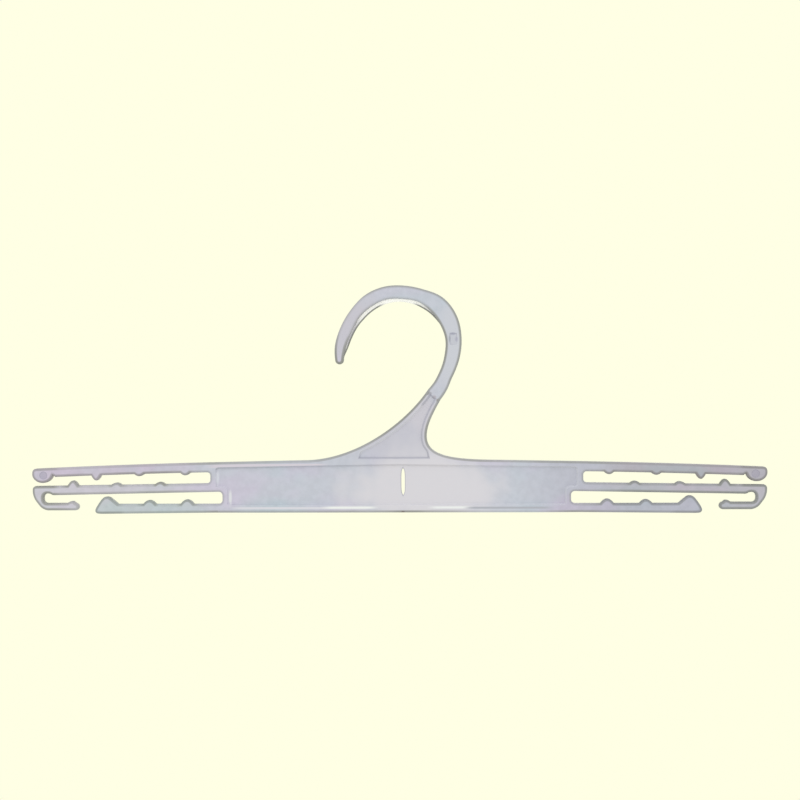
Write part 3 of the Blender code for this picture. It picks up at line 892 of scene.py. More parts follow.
class Mould:
    """A piece on the bench, shaped in edit mode as its front half and then mirrored to its back."""

    def __init__(self, name: str, outline: list[Point], relief: Relief) -> None:
        """Trace the piece's outline and round its front rim.

        Args:
            name: The piece's name.
            outline: Its closed outline in the XZ plane.
            relief: Its thickness and rounding.
        """
        deselect_all()
        self.outline = outline
        self.relief = relief
        x, z = outline[0]
        bpy.ops.mesh.primitive_plane_add(size=SEED_SIZE, location=(x, 0.0, z))
        bpy.ops.object.transform_apply(location=True)
        self.item = bpy.context.object
        self.item.name = name
        bpy.ops.object.mode_set(mode="EDIT")
        bpy.ops.mesh.select_mode(type="VERT")
        bpy.ops.mesh.select_all(action="SELECT")
        self._draw(outline)
        wall = relief.half_thickness - relief.rim_radius
        bpy.ops.mesh.extrude_region_move(TRANSFORM_OT_translate={"value": (0.0, -wall, 0.0)})
        self._inset(relief.rim_steps())

    def _draw(self, outline: list[Point]) -> None:
        """Shrink the selected seed to a point, draw an outline from it and fill it, facing forwards.

        Args:
            outline: The closed outline, from the seed's place.
        """
        bpy.ops.mesh.merge(type="CENTER")
        for (x0, z0), (x1, z1) in zip(outline, outline[1:]):
            bpy.ops.mesh.extrude_region_move(TRANSFORM_OT_translate={"value": (x1 - x0, 0.0, z1 - z0)})
        bpy.ops.mesh.select_linked()
        shape = bmesh.from_edit_mesh(self.item.data)
        for vert in shape.verts:
            vert.select = vert.select and len(vert.link_edges) == 1
        shape.select_flush_mode()
        bpy.ops.mesh.edge_face_add()
        bpy.ops.mesh.select_linked()
        bpy.ops.mesh.edge_face_add()
        shape = bmesh.from_edit_mesh(self.item.data)
        drawn = next(face for face in shape.faces if face.select)
        drawn.normal_update()
        if drawn.normal.y > 0.0:
            bpy.ops.mesh.flip_normals()

    def _inset(self, steps: Sequence[Point]) -> None:
        """Inset the selected face by widths and rises, one after another."""
        for width, rise in steps:
            bpy.ops.mesh.inset(thickness=width, depth=rise, use_even_offset=True, use_boundary=True)

    def _select(self, kind: str, wanted: Callable[[bmesh.types.BMEdge | bmesh.types.BMFace], bool]) -> None:
        """Select edges or faces and nothing else.

        Args:
            kind: EDGE or FACE.
            wanted: Tells which of them are selected.
        """
        bpy.ops.mesh.select_mode(type=kind)
        bpy.ops.mesh.select_all(action="DESELECT")
        shape = bmesh.from_edit_mesh(self.item.data)
        for element in shape.edges if kind == "EDGE" else shape.faces:
            element.select_set(wanted(element))
        bmesh.update_edit_mesh(self.item.data)

    def open_face(self) -> None:
        """Take the selected face away and keep its edges."""
        bpy.ops.mesh.delete(type="ONLY_FACE")
        bpy.ops.mesh.select_all(action="DESELECT")

    def sink(self, outline: list[Point], depth: float, steps: Sequence[Point], slope: float = 1.0) -> None:
        """Sink a recess into a face that has been opened.

        Args:
            outline: The recess's outline.
            depth: How far in front of the middle plane the opened face lies.
            steps: Insets as width and fall, from the face down to the recess's floor.
            slope: What the insets' widths are multiplied by.
        """
        x, z = outline[0]
        bpy.ops.mesh.select_all(action="DESELECT")
        bpy.ops.mesh.primitive_plane_add(size=SEED_SIZE, location=(x, -depth, z))
        self._draw(outline)
        self._inset([(width * slope, -fall) for width, fall in steps])

    def close_level(self, depth: float) -> None:
        """Fill what is open at a depth in front of the middle plane, round the recesses in it.

        Args:
            depth: How far in front of the middle plane.
        """

        def is_open(edge: bmesh.types.BMEdge) -> bool:
            """Tell whether an edge is open at the depth."""
            return edge.is_boundary and all(abs(vert.co.y + depth) < NEAR for vert in edge.verts)

        self._select("EDGE", is_open)
        bpy.ops.mesh.fill(use_beauty=True)
        bpy.ops.mesh.select_mode(type="VERT")

    def close_back(self) -> None:
        """Open the middle plane and mirror the front half to the back."""
        self._select("FACE", lambda face: all(abs(vert.co.y) < NEAR for vert in face.verts))
        bpy.ops.mesh.delete(type="ONLY_FACE")
        bpy.ops.mesh.select_mode(type="VERT")
        bpy.ops.object.mode_set(mode="OBJECT")
        mirror = self.item.modifiers.new("back_half", "MIRROR")
        mirror.use_axis = (False, True, False)
        mirror.merge_threshold = NEAR
        bpy.ops.object.modifier_apply(modifier=mirror.name)
        bpy.ops.object.mode_set(mode="EDIT")
        self._face_outwards()

    def _face_outwards(self) -> None:
        """Weld doubles and turn every face outwards."""
        bpy.ops.mesh.select_all(action="SELECT")
        bpy.ops.mesh.remove_doubles(threshold=WELD)
        bpy.ops.mesh.normals_make_consistent(inside=False)

    def cut(self, x: float, keep: float, near: Callable[[Vector], bool]) -> None:
        """Cut the piece square across at a place.

        Args:
            x: Where the cut lies.
            keep: Below zero to keep the side of lower X, above zero to keep the other.
            near: Tells whether a point belongs to what is cut off.
        """
        self._select("FACE", lambda face: any(near(vert.co) for vert in face.verts))
        place, way = (x, 0.0, 0.0), (-keep, 0.0, 0.0)
        bpy.ops.mesh.bisect(plane_co=place, plane_no=way, use_fill=True, clear_outer=True, threshold=WELD)
        bpy.ops.mesh.select_mode(type="VERT")

    def finish(self) -> Item:
        """Shade the piece smooth and write down how near each point is to an edge and how sunk it is.

        Returns:
            The piece.
        """
        self._face_outwards()
        bpy.ops.object.mode_set(mode="OBJECT")
        bpy.ops.object.shade_smooth_by_angle(angle=math.radians(SMOOTH_DEG))
        places = np.array([tuple(vert.co) for vert in self.item.data.vertices])
        width = self.relief.rim_radius + self.relief.shoulder
        edge = np.clip(1.0 - self._edge_distance(places) / width, 0.0, 1.0)
        half = self.relief.half_thickness
        sunk = np.where(edge > 0.0, 0.0, (half - np.abs(places[:, 1])) / half * SUNK_AT_MIDDLE)
        line = np.ones(len(edge))
        for name, values in ((EDGE_ATTRIBUTE, edge), (SUNK_ATTRIBUTE, sunk), (LINE_ATTRIBUTE, line)):
            write_values(self.item, name, values)
        return self.item

    def _edge_distance(self, places: np.ndarray) -> np.ndarray:
        """Measure each point's distance from the outline, as seen from the front.

        Args:
            places: The points.

        Returns:
            Their distances.
        """
        flat = places[:, (0, 2)]
        starts = np.array(self.outline)
        spans = np.roll(starts, -1, axis=0) - starts
        nearest = np.full(len(flat), np.inf)
        for start, span in zip(starts, spans):
            reach = np.clip(((flat - start) @ span) / max(span @ span, NEAR * NEAR), 0.0, 1.0)
            nearest = np.minimum(nearest, np.linalg.norm(flat - start - reach[:, None] * span, axis=1))
        return nearest


# Arms


@dataclass(frozen=True)
class Tooth:
    """A rounded tooth on an arm's edge: its place, its reach to both sides and its height."""

    x: float
    inner: float
    outer: float
    height: float

    def rise(self, x: float) -> float:
        """Give how far the tooth stands out at a place."""
        reach = (x - self.x) / (self.outer if x > self.x else self.inner)
        return self.height * (1.0 - reach * reach) if abs(reach) < 1.0 else 0.0


@dataclass(frozen=True)
class ArmLine:
    """An arm's two long edges, as heights along the hanger, and the seam where it leaves the plate."""

    root_x: float
    root_z: float
    slope: float
    bend: float
    depth: float
    taper: float
    seam_x: float

    def centre(self, x: float) -> float:
        """Give the height of the centreline."""
        reach = x - self.root_x
        return self.root_z + self.slope * reach + self.bend * reach * reach

    def half_depth(self, x: float) -> float:
        """Give half the arm's depth."""
        return (self.depth + self.taper * (x - self.root_x)) / 2

    def top(self, x: float) -> float:
        """Give the height of the top edge."""
        return self.centre(x) + self.half_depth(x)

    def under(self, x: float) -> float:
        """Give the height of the underside."""
        return self.centre(x) - self.half_depth(x)


UPPER_LINE = ArmLine(
    root_x=77.2 * MM, root_z=-68.25 * MM, slope=-0.0189, bend=-0.16,
    depth=4.15 * MM, taper=-0.004, seam_x=79.2 * MM,
)
MIDDLE_LINE = ArmLine(
    root_x=77.2 * MM, root_z=-76.68 * MM, slope=-0.016, bend=0.0,
    depth=3.65 * MM, taper=0.0045, seam_x=79.2 * MM,
)
LOWER_LINE = ArmLine(
    root_x=72.15 * MM, root_z=-85.25 * MM, slope=-0.004, bend=0.0,
    depth=3.65 * MM, taper=0.01, seam_x=74.0 * MM,
)


def toothed(
    height: Callable[[float], float], start: float, end: float, teeth: Sequence[Tooth] = (), side: float = 1.0
) -> list[Point]:
    """Draw an arm's edge with its teeth.

    Args:
        height: The edge's height at a place.
        start: Where the edge starts.
        end: Where it ends.
        teeth: The teeth on it.
        side: 1 where they stand up, -1 where they hang down.

    Returns:
        The points, both ends included.
    """
    low, high = min(start, end), max(start, end)
    places = {low, high}
    for tooth in teeth:
        for share in evenly(-1.0, 1.0, TOOTH_SIDES):
            places.add(tooth.x + share * (tooth.outer if share > 0 else tooth.inner))
    for x in evenly(low, high, math.ceil((high - low) / EDGE_STEP))[1:-1]:
        if all(abs(x - tooth.x) > tooth.outer + EDGE_STEP / 3 for tooth in teeth):
            places.add(x)
    ordered = sorted(places, reverse=start > end)
    return [(x, height(x) + side * max((tooth.rise(x) for tooth in teeth), default=0.0)) for x in ordered]


def mirror_copy(item: Item, name: str) -> Item:
    """Copy a piece, with a mesh of its own, to the other end of the hanger.

    Args:
        item: The piece.
        name: The copy's name.

    Returns:
        The copy.
    """
    deselect_all()
    item.select_set(True)
    bpy.context.view_layer.objects.active = item
    bpy.ops.object.duplicate()
    copy = bpy.context.object
    copy.name = name
    bpy.ops.object.mode_set(mode="EDIT")
    bpy.ops.mesh.select_all(action="SELECT")
    bpy.ops.transform.resize(value=(-1.0, 1.0, 1.0), center_override=(0.0, 0.0, 0.0))
    bpy.ops.mesh.normals_make_consistent(inside=False)
    bpy.ops.object.mode_set(mode="OBJECT")
    return copy


@dataclass(frozen=True)
class ArmLook:
    """One arm's tone with painted light and shade by side, its edge's painted shade, and how dark the painted
    shade of its top and its under edge is.
    """

    arm_tone_and_shade: Colour
    tint_edge: Colour
    lines: Point


@dataclass(frozen=True)
class FlexArm:
    """A springy finger that grows out of the plate and bends from its root."""

    level: Level
    line: ArmLine
    bend_end_x: float
    replaces: tuple[str, ...]
    # Each side's look paints the right arm darker than the left, as painted shade.
    left: ArmLook
    right: ArmLook
    root_lines: Point
    plain_end_x: float
    teeth: tuple[Tooth, ...]
    teeth_below: bool = False
    tooth_line: float = 1.0
    tooth_margin: float = 0.4 * MM
    relief: Relief = Relief()
    tint_reach: float = 18.0 * MM

    def root_x(self) -> float:
        """Give where the arm's outline starts, inside the plate."""
        return self.line.seam_x - SEAM_OVERLAP

    def outline(self) -> list[Point]:
        """Draw the right arm's closed outline."""
        raise NotImplementedError

    def recesses(self) -> list[list[Point]]:
        """Draw the shallow marks in the arm's two faces."""
        return []

    def _write_far(self, piece: Item) -> None:
        """Write down how far out on the arm each point is, from none at the seam.

        Args:
            piece: The right arm.
        """
        reached = [(vert.co.x - self.line.seam_x) / self.tint_reach for vert in piece.data.vertices]
        shares = np.clip(reached, 0.0, 1.0)
        write_values(piece, FAR_ATTRIBUTE, shares * shares * (3.0 - 2.0 * shares))

    def _line_at(self, place: Vector, far: float, lines: Point) -> float:
        """Give how dark the painted edge shade is at a place, darkest round the teeth and the end.

        Args:
            place: The place.
            far: How far out on the arm it is.
            lines: How dark the painted shade of the top and the under edge is out on the arm.

        Returns:
            The edge's darkness.
        """
        x = abs(place.x)
        is_under = place.z < self.line.centre(x)
        reached = any(abs(x - tooth.x) < tooth.outer + self.tooth_margin for tooth in self.teeth)
        if x > self.plain_end_x or (reached and is_under == self.teeth_below):
            return self.tooth_line
        root = self.root_lines[is_under]
        return root + (lines[is_under] - root) * far

    def build(self, effects: Effects) -> list[Item]:
        """Model the right arm, copy it to the left, and let both bend from the plate.

        Args:
            effects: The node groups of the finishes.

        Returns:
            Both pieces.
        """
        arm = f"{self.level.value}_arm"
        mould = Mould(f"{arm}_finger_right", self.outline(), self.relief)
        marks = self.recesses()
        if marks:
            mould.open_face()
            for mark in marks:
                mould.sink(mark, self.relief.half_thickness, EJECTOR_MARK)
            mould.close_level(self.relief.half_thickness)
        mould.close_back()
        seam_x = self.line.seam_x
        mould.cut(seam_x, 1.0, lambda place: place.x < seam_x)
        right = mould.finish()
        self._write_far(right)
        left = mirror_copy(right, f"{arm}_finger_left")
        for side, piece, look in ((Side.RIGHT, right, self.right), (Side.LEFT, left, self.left)):
            label = side.name.lower()
            rows = zip(piece.data.vertices, read_values(piece, FAR_ATTRIBUTE))
            darkness = [self._line_at(vert.co, far, look.lines) for vert, far in rows]
            write_values(piece, LINE_ATTRIBUTE, darkness)
            # Lit and shaded copies of one finish for the two sides: painted light and shade.
            finish = FrostedPlastic(f"frosted_{self.level.value}_{label}", look.arm_tone_and_shade, look.tint_edge)
            finish.dress(piece, effects)
            start, end = ((side.value * x, 0.0, self.line.centre(seam_x)) for x in (seam_x, self.bend_end_x))
            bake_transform(piece, ROOT_BODY, f"{arm}_{label}", start=start, end=end)
            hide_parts(*(f"{node}_{label}" for node in self.replaces))
        return [right, left]


@dataclass(frozen=True)
class UpperArm(FlexArm):
    """The top finger: teeth below and a bulb that hangs from its end."""

    level: Level = Level.UPPER
    line: ArmLine = UPPER_LINE
    bend_end_x: float = 102.0 * MM
    replaces: tuple[str, ...] = ("upper_arm",)
    # Painted shade: the right arm's tone and edge are painted darker than the left one's.
    left: ArmLook = ArmLook(tone(203, 197, 211), tone(156, 152, 154), (0.6, 0.95))
    right: ArmLook = ArmLook(tone(179, 176, 185), tone(142, 139, 140), (0.55, 0.6))
    root_lines: Point = (0.9, 0.4)
    plain_end_x: float = 142.0 * MM
    teeth: tuple[Tooth, ...] = (
        Tooth(*mm(87.7, 2.1, 2.1, 1.05)),
        Tooth(*mm(107.0, 2.1, 2.1, 0.9)),
        Tooth(*mm(125.1, 2.1, 2.1, 2.1)),
    )
    teeth_below: bool = True
    bulb: Point = mm(147.8, -70.9)
    bulb_radii: Point = mm(4.4, 3.7)
    bulb_top_x: float = 149.8 * MM
    bulb_heel: float = 1.0 * MM
    bulb_sides: int = 22
    nose_sides: int = 9
    nose_pull: float = 0.28
    mark: Point = mm(147.3, -71.45)
    mark_radii: Point = mm(1.75, 1.75)
    mark_end_deg: float = 345.0
    mark_sides: int = 23

    def outline(self) -> list[Point]:
        """Draw the right arm's closed outline.

        Returns:
            The points.
        """
        top = toothed(self.line.top, self.root_x(), self.bulb_top_x)
        corner = (self.bulb[0] + self.bulb_radii[0], self.line.top(self.bulb_top_x))
        bulb_end = (corner[0], self.bulb[1])
        first, second = (between(corner, place, self.nose_pull) for place in (top[-1], bulb_end))
        nose = cubic(top[-1], first, second, bulb_end, self.nose_sides)
        bulb = arc(self.bulb, self.bulb_radii, 0.0, -180.0, self.bulb_sides)
        heel_x = self.bulb[0] - self.bulb_radii[0] - self.bulb_heel
        under = toothed(self.line.under, heel_x, self.root_x(), self.teeth, -1.0)
        return top + nose[1:] + bulb[1:-1] + under

    def recesses(self) -> list[list[Point]]:
        """Draw the round pin mark in the bulb."""
        return [arc(self.mark, self.mark_radii, 0.0, self.mark_end_deg, self.mark_sides)]


@dataclass(frozen=True)
class MiddleArm(FlexArm):
    """The middle finger: teeth on top, and a strap hook that turns back under its end."""

    level: Level = Level.MIDDLE
    line: ArmLine = MIDDLE_LINE
    bend_end_x: float = 98.0 * MM
    replaces: tuple[str, ...] = ("middle_arm", "strap_hook")
    # Painted shade: the right arm's tone and edge are painted darker than the left one's.
    left: ArmLook = ArmLook(tone(202, 205, 210), tone(154, 155, 150), (0.35, 0.65))
    right: ArmLook = ArmLook(tone(186, 183, 192), tone(140, 142, 140), (0.5, 0.9))
    root_lines: Point = (0.4, 0.4)
    plain_end_x: float = 142.5 * MM
    teeth: tuple[Tooth, ...] = (
        Tooth(*mm(98.2, 2.1, 2.1, 0.9)),
        Tooth(*mm(116.4, 1.9, 2.5, 0.9)),
        Tooth(*mm(134.9, 2.3, 2.3, 2.05)),
    )
    ramp_x: float = 142.9 * MM
    outer_x: float = 152.0 * MM
    inner_x: float = 147.4 * MM
    shoulder_z: float = -80.4 * MM
    heel: Point = mm(147.6, -86.05)
    prong_top_z: float = -82.95 * MM
    tip_x: float = 132.5 * MM
    tip_turn_deg: float = 170.0
    tip_sides: int = 14
    nub: Tooth = Tooth(*mm(135.2, 2.0, 2.0, 0.8))
    nub_sides: int = 8
    top_corner: float = 1.5 * MM
    outer_corner: float = 2.3 * MM
    inner_corner: float = 1.6 * MM
    roof_rise: float = 0.8 * MM
    roof_ramp: float = 2.6 * MM
    ramp_sides: int = 8

    def _prong(self) -> list[Point]:
        """Draw the prong's rounded tip and the nub behind it.

        Returns:
            The points.
        """
        half = (self.prong_top_z - self.heel[1]) / 2
        centre = (self.tip_x + half, self.heel[1] + half)
        tip = arc(centre, (half, half), 270.0, 270.0 - self.tip_turn_deg, self.tip_sides)
        step = 2.0 * self.nub.inner / self.nub_sides
        places = [self.nub.x + step * (index - 1) for index in range(self.nub_sides // 2 + 2)]
        return tip + [(x, self.prong_top_z + self.nub.rise(x)) for x in places]

    def outline(self) -> list[Point]:
        """Draw the right arm's closed outline.

        Returns:
            The points.
        """
        roof = (self.ramp_x + self.roof_ramp, self.line.under(self.inner_x) + self.roof_rise)
        ramp_foot = (self.ramp_x, self.line.under(self.ramp_x))
        middle = self.ramp_x + self.roof_ramp / 2
        corner, shoulder = (self.outer_x, self.line.top(self.outer_x)), (self.outer_x, self.shoulder_z)
        low, high = (self.inner_x, self.prong_top_z), (self.inner_x, roof[1])
        prong = self._prong()
        outline = toothed(self.line.top, self.root_x(), self.ramp_x, self.teeth)
        outside = (outline[-1], corner, shoulder, self.heel, prong[0])
        outline += rounded(outside, (self.top_corner, self.outer_corner, self.outer_corner)) + prong
        outline += rounded((prong[-1], low, high, roof), (self.inner_corner, self.inner_corner))
        outline += cubic(roof, (middle, roof[1]), (middle, ramp_foot[1]), ramp_foot, self.ramp_sides)
        return outline + toothed(self.line.under, self.ramp_x, self.root_x())[1:]


@dataclass(frozen=True)
class LowerArm(FlexArm):
    """The shorter bottom finger: teeth on top and an upright knob at its end."""

    level: Level = Level.LOWER
    line: ArmLine = LOWER_LINE
    bend_end_x: float = 90.0 * MM
    replaces: tuple[str, ...] = ("lower_arm",)
    # Painted shade: the right arm's tone and edge are painted darker than the left one's.
    left: ArmLook = ArmLook(tone(196, 203, 206), tone(150, 157, 153), (0.25, 0.6))
    right: ArmLook = ArmLook(tone(183, 186, 198), tone(140, 142, 146), (0.95, 0.65))
    root_lines: Point = (0.4, 0.9)
    plain_end_x: float = 115.0 * MM
    teeth: tuple[Tooth, ...] = (Tooth(*mm(86.9, 2.8, 2.8, 1.85)), Tooth(*mm(102.7, 2.7, 2.7, 1.6)))
    knob_x: float = 115.9 * MM
    knob_foot: float = 2.0 * MM
    knob_steps: int = 3
    knob: tuple[Point, ...] = mm_rows(
        (118.3, -81.4), (119.5, -80.55), (120.7, -80.35), (121.9, -80.65), (123.1, -81.8),
        (124.9, -84.4), (125.6, -86.1), (125.2, -87.08), (124.2, -87.45),
    )

    def outline(self) -> list[Point]:
        """Draw the right arm's closed outline.

        Returns:
            The points.
        """
        top = toothed(self.line.top, self.root_x(), self.knob_x, self.teeth)
        under = toothed(self.line.under, self.knob[-1][0] - self.knob_foot, self.root_x())
        return top[:-1] + flowing([top[-1], *self.knob, under[0]], self.knob_steps) + under[1:]


# Hook, gusset and plate


@dataclass(frozen=True)
class RailHook:
    """The open hook that hangs on the rail, with its thin inner lip.

    The tables give, round the hook's centre: its radius and its depth; the lip's radius; how strong the
    painted shade of the outer and the inner edge is; and how far the lip looks like the hook.
    """

    centre: Point = mm(1.65, -17.15)
    stations: Table = Table(
        (
            (-55.0, 25.65, 6.6), (-46.0, 24.6, 6.2), (-35.0, 23.35, 5.75), (-15.0, 22.6, 6.3),
            (5.0, 22.55, 6.75), (25.0, 22.5, 7.8), (45.0, 22.35, 7.55), (65.0, 21.6, 5.6),
            (85.0, 21.1, 5.6), (105.0, 21.5, 5.4), (125.0, 21.7, 5.45), (145.0, 21.95, 4.75),
            (165.0, 22.65, 5.0), (185.0, 24.6, 4.45), (195.5, 25.7, 3.5),
        ),
        value_unit=MM,
    )
    lip_stations: Table = Table(
        (
            (22.0, 18.7), (35.0, 18.05), (45.0, 17.7), (55.0, 17.4), (65.0, 17.25),
            (80.0, 17.15), (100.0, 17.15), (125.0, 17.2), (145.0, 17.65), (155.0, 18.25),
            (165.0, 18.95), (175.0, 19.9), (185.0, 21.3), (194.0, 23.6),
        ),
        value_unit=MM,
    )
    edge_shares: Table = Table((
        (-60.0, 0.8, 0.65), (-25.0, 0.7, 1.0), (0.0, 0.8, 1.0), (20.0, 0.8, 1.0), (45.0, 0.65, 0.6),
        (60.0, 0.6, 0.2), (110.0, 0.6, 0.2), (135.0, 0.35, 0.3), (170.0, 0.4, 0.3), (185.0, 1.4, 1.3),
        (210.0, 1.6, 1.5),
    ))
    fused_shares: Table = Table((
        (15.0, 0.9), (42.0, 0.8), (58.0, 0.1), (75.0, 0.0), (138.0, 0.0),
        (150.0, 0.25), (162.0, 0.95), (176.0, 0.9), (186.0, 0.25), (200.0, 0.2),
    ))
    lowest_deg: float = -100.0
    mark_deg: float = 4.0
    mark_half: Point = mm(1.6, 2.5)
    mark_corner: float = 0.5 * MM
    mark_corner_sides: int = 4
    step_deg: float = 3.0
    tip_sides: int = 12
    lip_root: float = 2.0 * MM
    lip_relief: Relief = Relief(
        half_thickness=0.48 * MM, rim_radius=0.4 * MM, rim_segments=5, support=0.03 * MM, shoulder=0.4 * MM
    )

    def polar(self, angle_deg: float, radius: float) -> Point:
        """Give a point round the hook's centre."""
        angle = math.radians(angle_deg)
        return (self.centre[0] + radius * math.cos(angle), self.centre[1] + radius * math.sin(angle))

    def section(self, angle_deg: float) -> tuple[Point, Point, Point, float]:
        """Measure the hook at an angle round its centre.

        Args:
            angle_deg: The angle from +X.

        Returns:
            The centreline's point, the way along, the way out, and half the depth.
        """
        angles = (angle_deg, angle_deg - DIRECTION_NUDGE_DEG, angle_deg + DIRECTION_NUDGE_DEG)
        here, back, ahead = (self.polar(at, self.stations.smooth(at)) for at in angles)
        along = heading(back, ahead)
        return here, along, (along[1], -along[0]), self.stations.smooth(angle_deg, 2) / 2

    def at_edge(self, angle_deg: float, side: float) -> Point:
        """Give the point at an angle on the hook's outer edge, or its inner one for a side below zero."""
        here, _, outward, half = self.section(angle_deg)
        return shifted(here, outward, side * half)

    def _angles(self, table: Table) -> list[float]:
        """Give even angles from a table's first to its last, at about the hook's step."""
        start, end = table.ends()
        return evenly(start, end, math.ceil((end - start) / self.step_deg))

    def edge(self) -> list[Point]:
        """Draw the hook's edge, up its outside, round its tip and back along its inside.

        Returns:
            The points.
        """
        angles = self._angles(self.stations)
        outer, inner = ([self.at_edge(angle, side) for angle in angles] for side in (1.0, -1.0))
        here, along, outward, half = self.section(self.stations.ends()[1])
        tip = []
        for angle in evenly(0.0, math.pi, self.tip_sides)[1:-1]:
            side = shifted(here, outward, math.cos(angle) * half)
            tip.append(shifted(side, along, math.sin(angle) * half))
        return outer + tip + inner[::-1]

    def lip_outline(self) -> list[Point]:
        """Draw the lip: its free edge, and its other edge just inside the hook.

        Returns:
            The points.
        """
        free, rooted = [], []
        for angle in self._angles(self.lip_stations):
            here, _, outward, half = self.section(angle)
            free.append(self.polar(angle, self.lip_stations.smooth(angle)))
            rooted.append(shifted(here, outward, self.lip_root - half))
        return free + rooted[::-1]

    def mark_outline(self) -> list[Point]:
        """Draw the shallow square mark on the hook's upright stretch.

        Returns:
            The points.
        """
        (x, z), (half_width, half_height) = self.section(self.mark_deg)[0], self.mark_half
        turns = ((-1, -1), (1, -1), (1, 1), (-1, 1))
        corners = [(x + across * half_width, z + up * half_height) for across, up in turns]
        path = [corners[-1], *corners, corners[0]]
        return rounded(path, [self.mark_corner] * len(corners), self.mark_corner_sides)

    def angle_of(self, place: Vector) -> float:
        """Give the angle of a place round the hook's centre, counted on past the crown to the tip."""
        angle = math.degrees(math.atan2(place.z - self.centre[1], place.x - self.centre[0]))
        return angle if angle > self.lowest_deg else angle + 360.0

    def edge_share(self, place: Vector) -> float:
        """Give how strong the hook's painted edge shade is at a place, weaker where light comes through.

        Args:
            place: The place.

        Returns:
            The line's share of its full strength.
        """
        angle = self.angle_of(place)
        radius = math.hypot(place.x - self.centre[0], place.z - self.centre[1])
        is_outer = radius > self.stations.smooth(min(angle, self.stations.ends()[1]))
        return self.edge_shares.straight(angle, 1 if is_outer else 2)

    def write_fused(self, piece: Item) -> None:
        """Write down where the lip is thick enough to look like the hook."""
        values = [self.fused_shares.straight(self.angle_of(vert.co)) for vert in piece.data.vertices]
        write_values(piece, FAR_ATTRIBUTE, values)


@dataclass(frozen=True)
class Gusset:
    """The flared web that carries the hook on the plate."""

    sweep_handles: tuple[Point, ...] = mm_rows((3.7, -50.8), (-17.2, -65.5), (-38.0, -65.45))
    neck_handles: tuple[Point, ...] = mm_rows((16.3, -44.9), (12.85, -50.5), (12.85, -55.6))
    foot_handles: tuple[Point, ...] = mm_rows((12.85, -62.5), (19.7, -64.9), (36.0, -65.4))
    neck_gap: float = 0.3 * MM
    sweep_points: int = 44
    neck_points: int = 16
    foot_points: int = 18
    rim: float = 1.45 * MM
    panel_top_left_z: float = -37.8 * MM
    panel_top_right_z: float = -40.1 * MM
    neck_lead_deg: float = 8.0
    panel_turn_z: float = -61.6 * MM
    panel_foot_z: float = -65.15 * MM
    panel_flare: float = 0.8 * MM
    corner_clear: float = 2.2 * MM
    side_sample: float = 1.0 * MM
    level_sample: float = 0.5 * MM
    # Strengths of the painted shade on the panel's steps, a painted highlight below zero.
    sweep_line: float = -0.5
    foot_line: float = 0.5
    level_line: float = 0.65

    def neck(self, hook: RailHook, side: float) -> Point:
        """Give the neck's outer corner, or its inner one for a side below zero."""
        here, along, outward, half = hook.section(hook.stations.ends()[0])
        return shifted(shifted(here, along, -self.neck_gap), outward, side * half)

    def sweep(self, hook: RailHook) -> list[Point]:
        """Draw the long concave edge from the neck down to the plate's top on the left."""
        return cubic(self.neck(hook, -1.0), *self.sweep_handles, self.sweep_points)

    def foot(self, hook: RailHook) -> list[Point]:
        """Draw the steep edge from the neck down and out along the plate's top on the right."""
        upper = cubic(self.neck(hook, 1.0), *self.neck_handles, self.neck_points)
        return upper + cubic(self.neck_handles[-1], *self.foot_handles, self.foot_points)[1:]

    def panel_sides(self, hook: RailHook) -> tuple[list[Point], list[Point]]:
        """Draw the panel's two long sides, each from the neck down, clear of short steps at its corners.

        Args:
            hook: The hook above the gusset.

        Returns:
            The left side and the right one.
        """
        sides = []
        lead_deg = hook.stations.ends()[0] + self.neck_lead_deg
        for edge, top_z, way in (
            (self.sweep(hook), self.panel_top_left_z, -1.0),
            (self.foot(hook), self.panel_top_right_z, 1.0),
        ):
            rim = offset_line([hook.at_edge(lead_deg, way), *edge], -way * self.rim)
            side = stretch(rim, top_z, self.panel_turn_z)
            first, last = side[0], side[-1]
            clear = [at for at in side if min(math.dist(at, first), math.dist(at, last)) > self.corner_clear]
            sides.append([first, *clear, last, (last[0] + way * self.panel_flare, self.panel_foot_z)])
        return sides[0], sides[1]

    def panel_outline(self, hook: RailHook) -> list[Point]:
        """Draw the sunk panel, from across the neck to a straight line at the plate's top rim."""
        left, right = self.panel_sides(hook)
        return left + right[::-1]

    def line_samples(self, hook: RailHook) -> list[Sample]:
        """Give places along the panel's sides, with how strong the painted shade of their steps is, a painted
        highlight below zero.

        Args:
            hook: The hook above the gusset.

        Returns:
            The places, each with its strength.
        """
        left, right = self.panel_sides(hook)
        samples = []
        for run, share in ((left, self.sweep_line), (right, self.foot_line)):
            lowest, highest = run[-1][1] + self.panel_flare, run[0][1] - self.panel_flare
            for start, end in zip(run, run[1:]):
                places = straight(start, end, self.side_sample)[1:]
                samples += [(x, z, share) for x, z in places if lowest < z < highest]
        for start, end in ((left[0], right[0]), (left[-1], right[-1])):
            samples += [(x, z, self.level_line) for x, z in straight(start, end, self.level_sample)]
        return samples


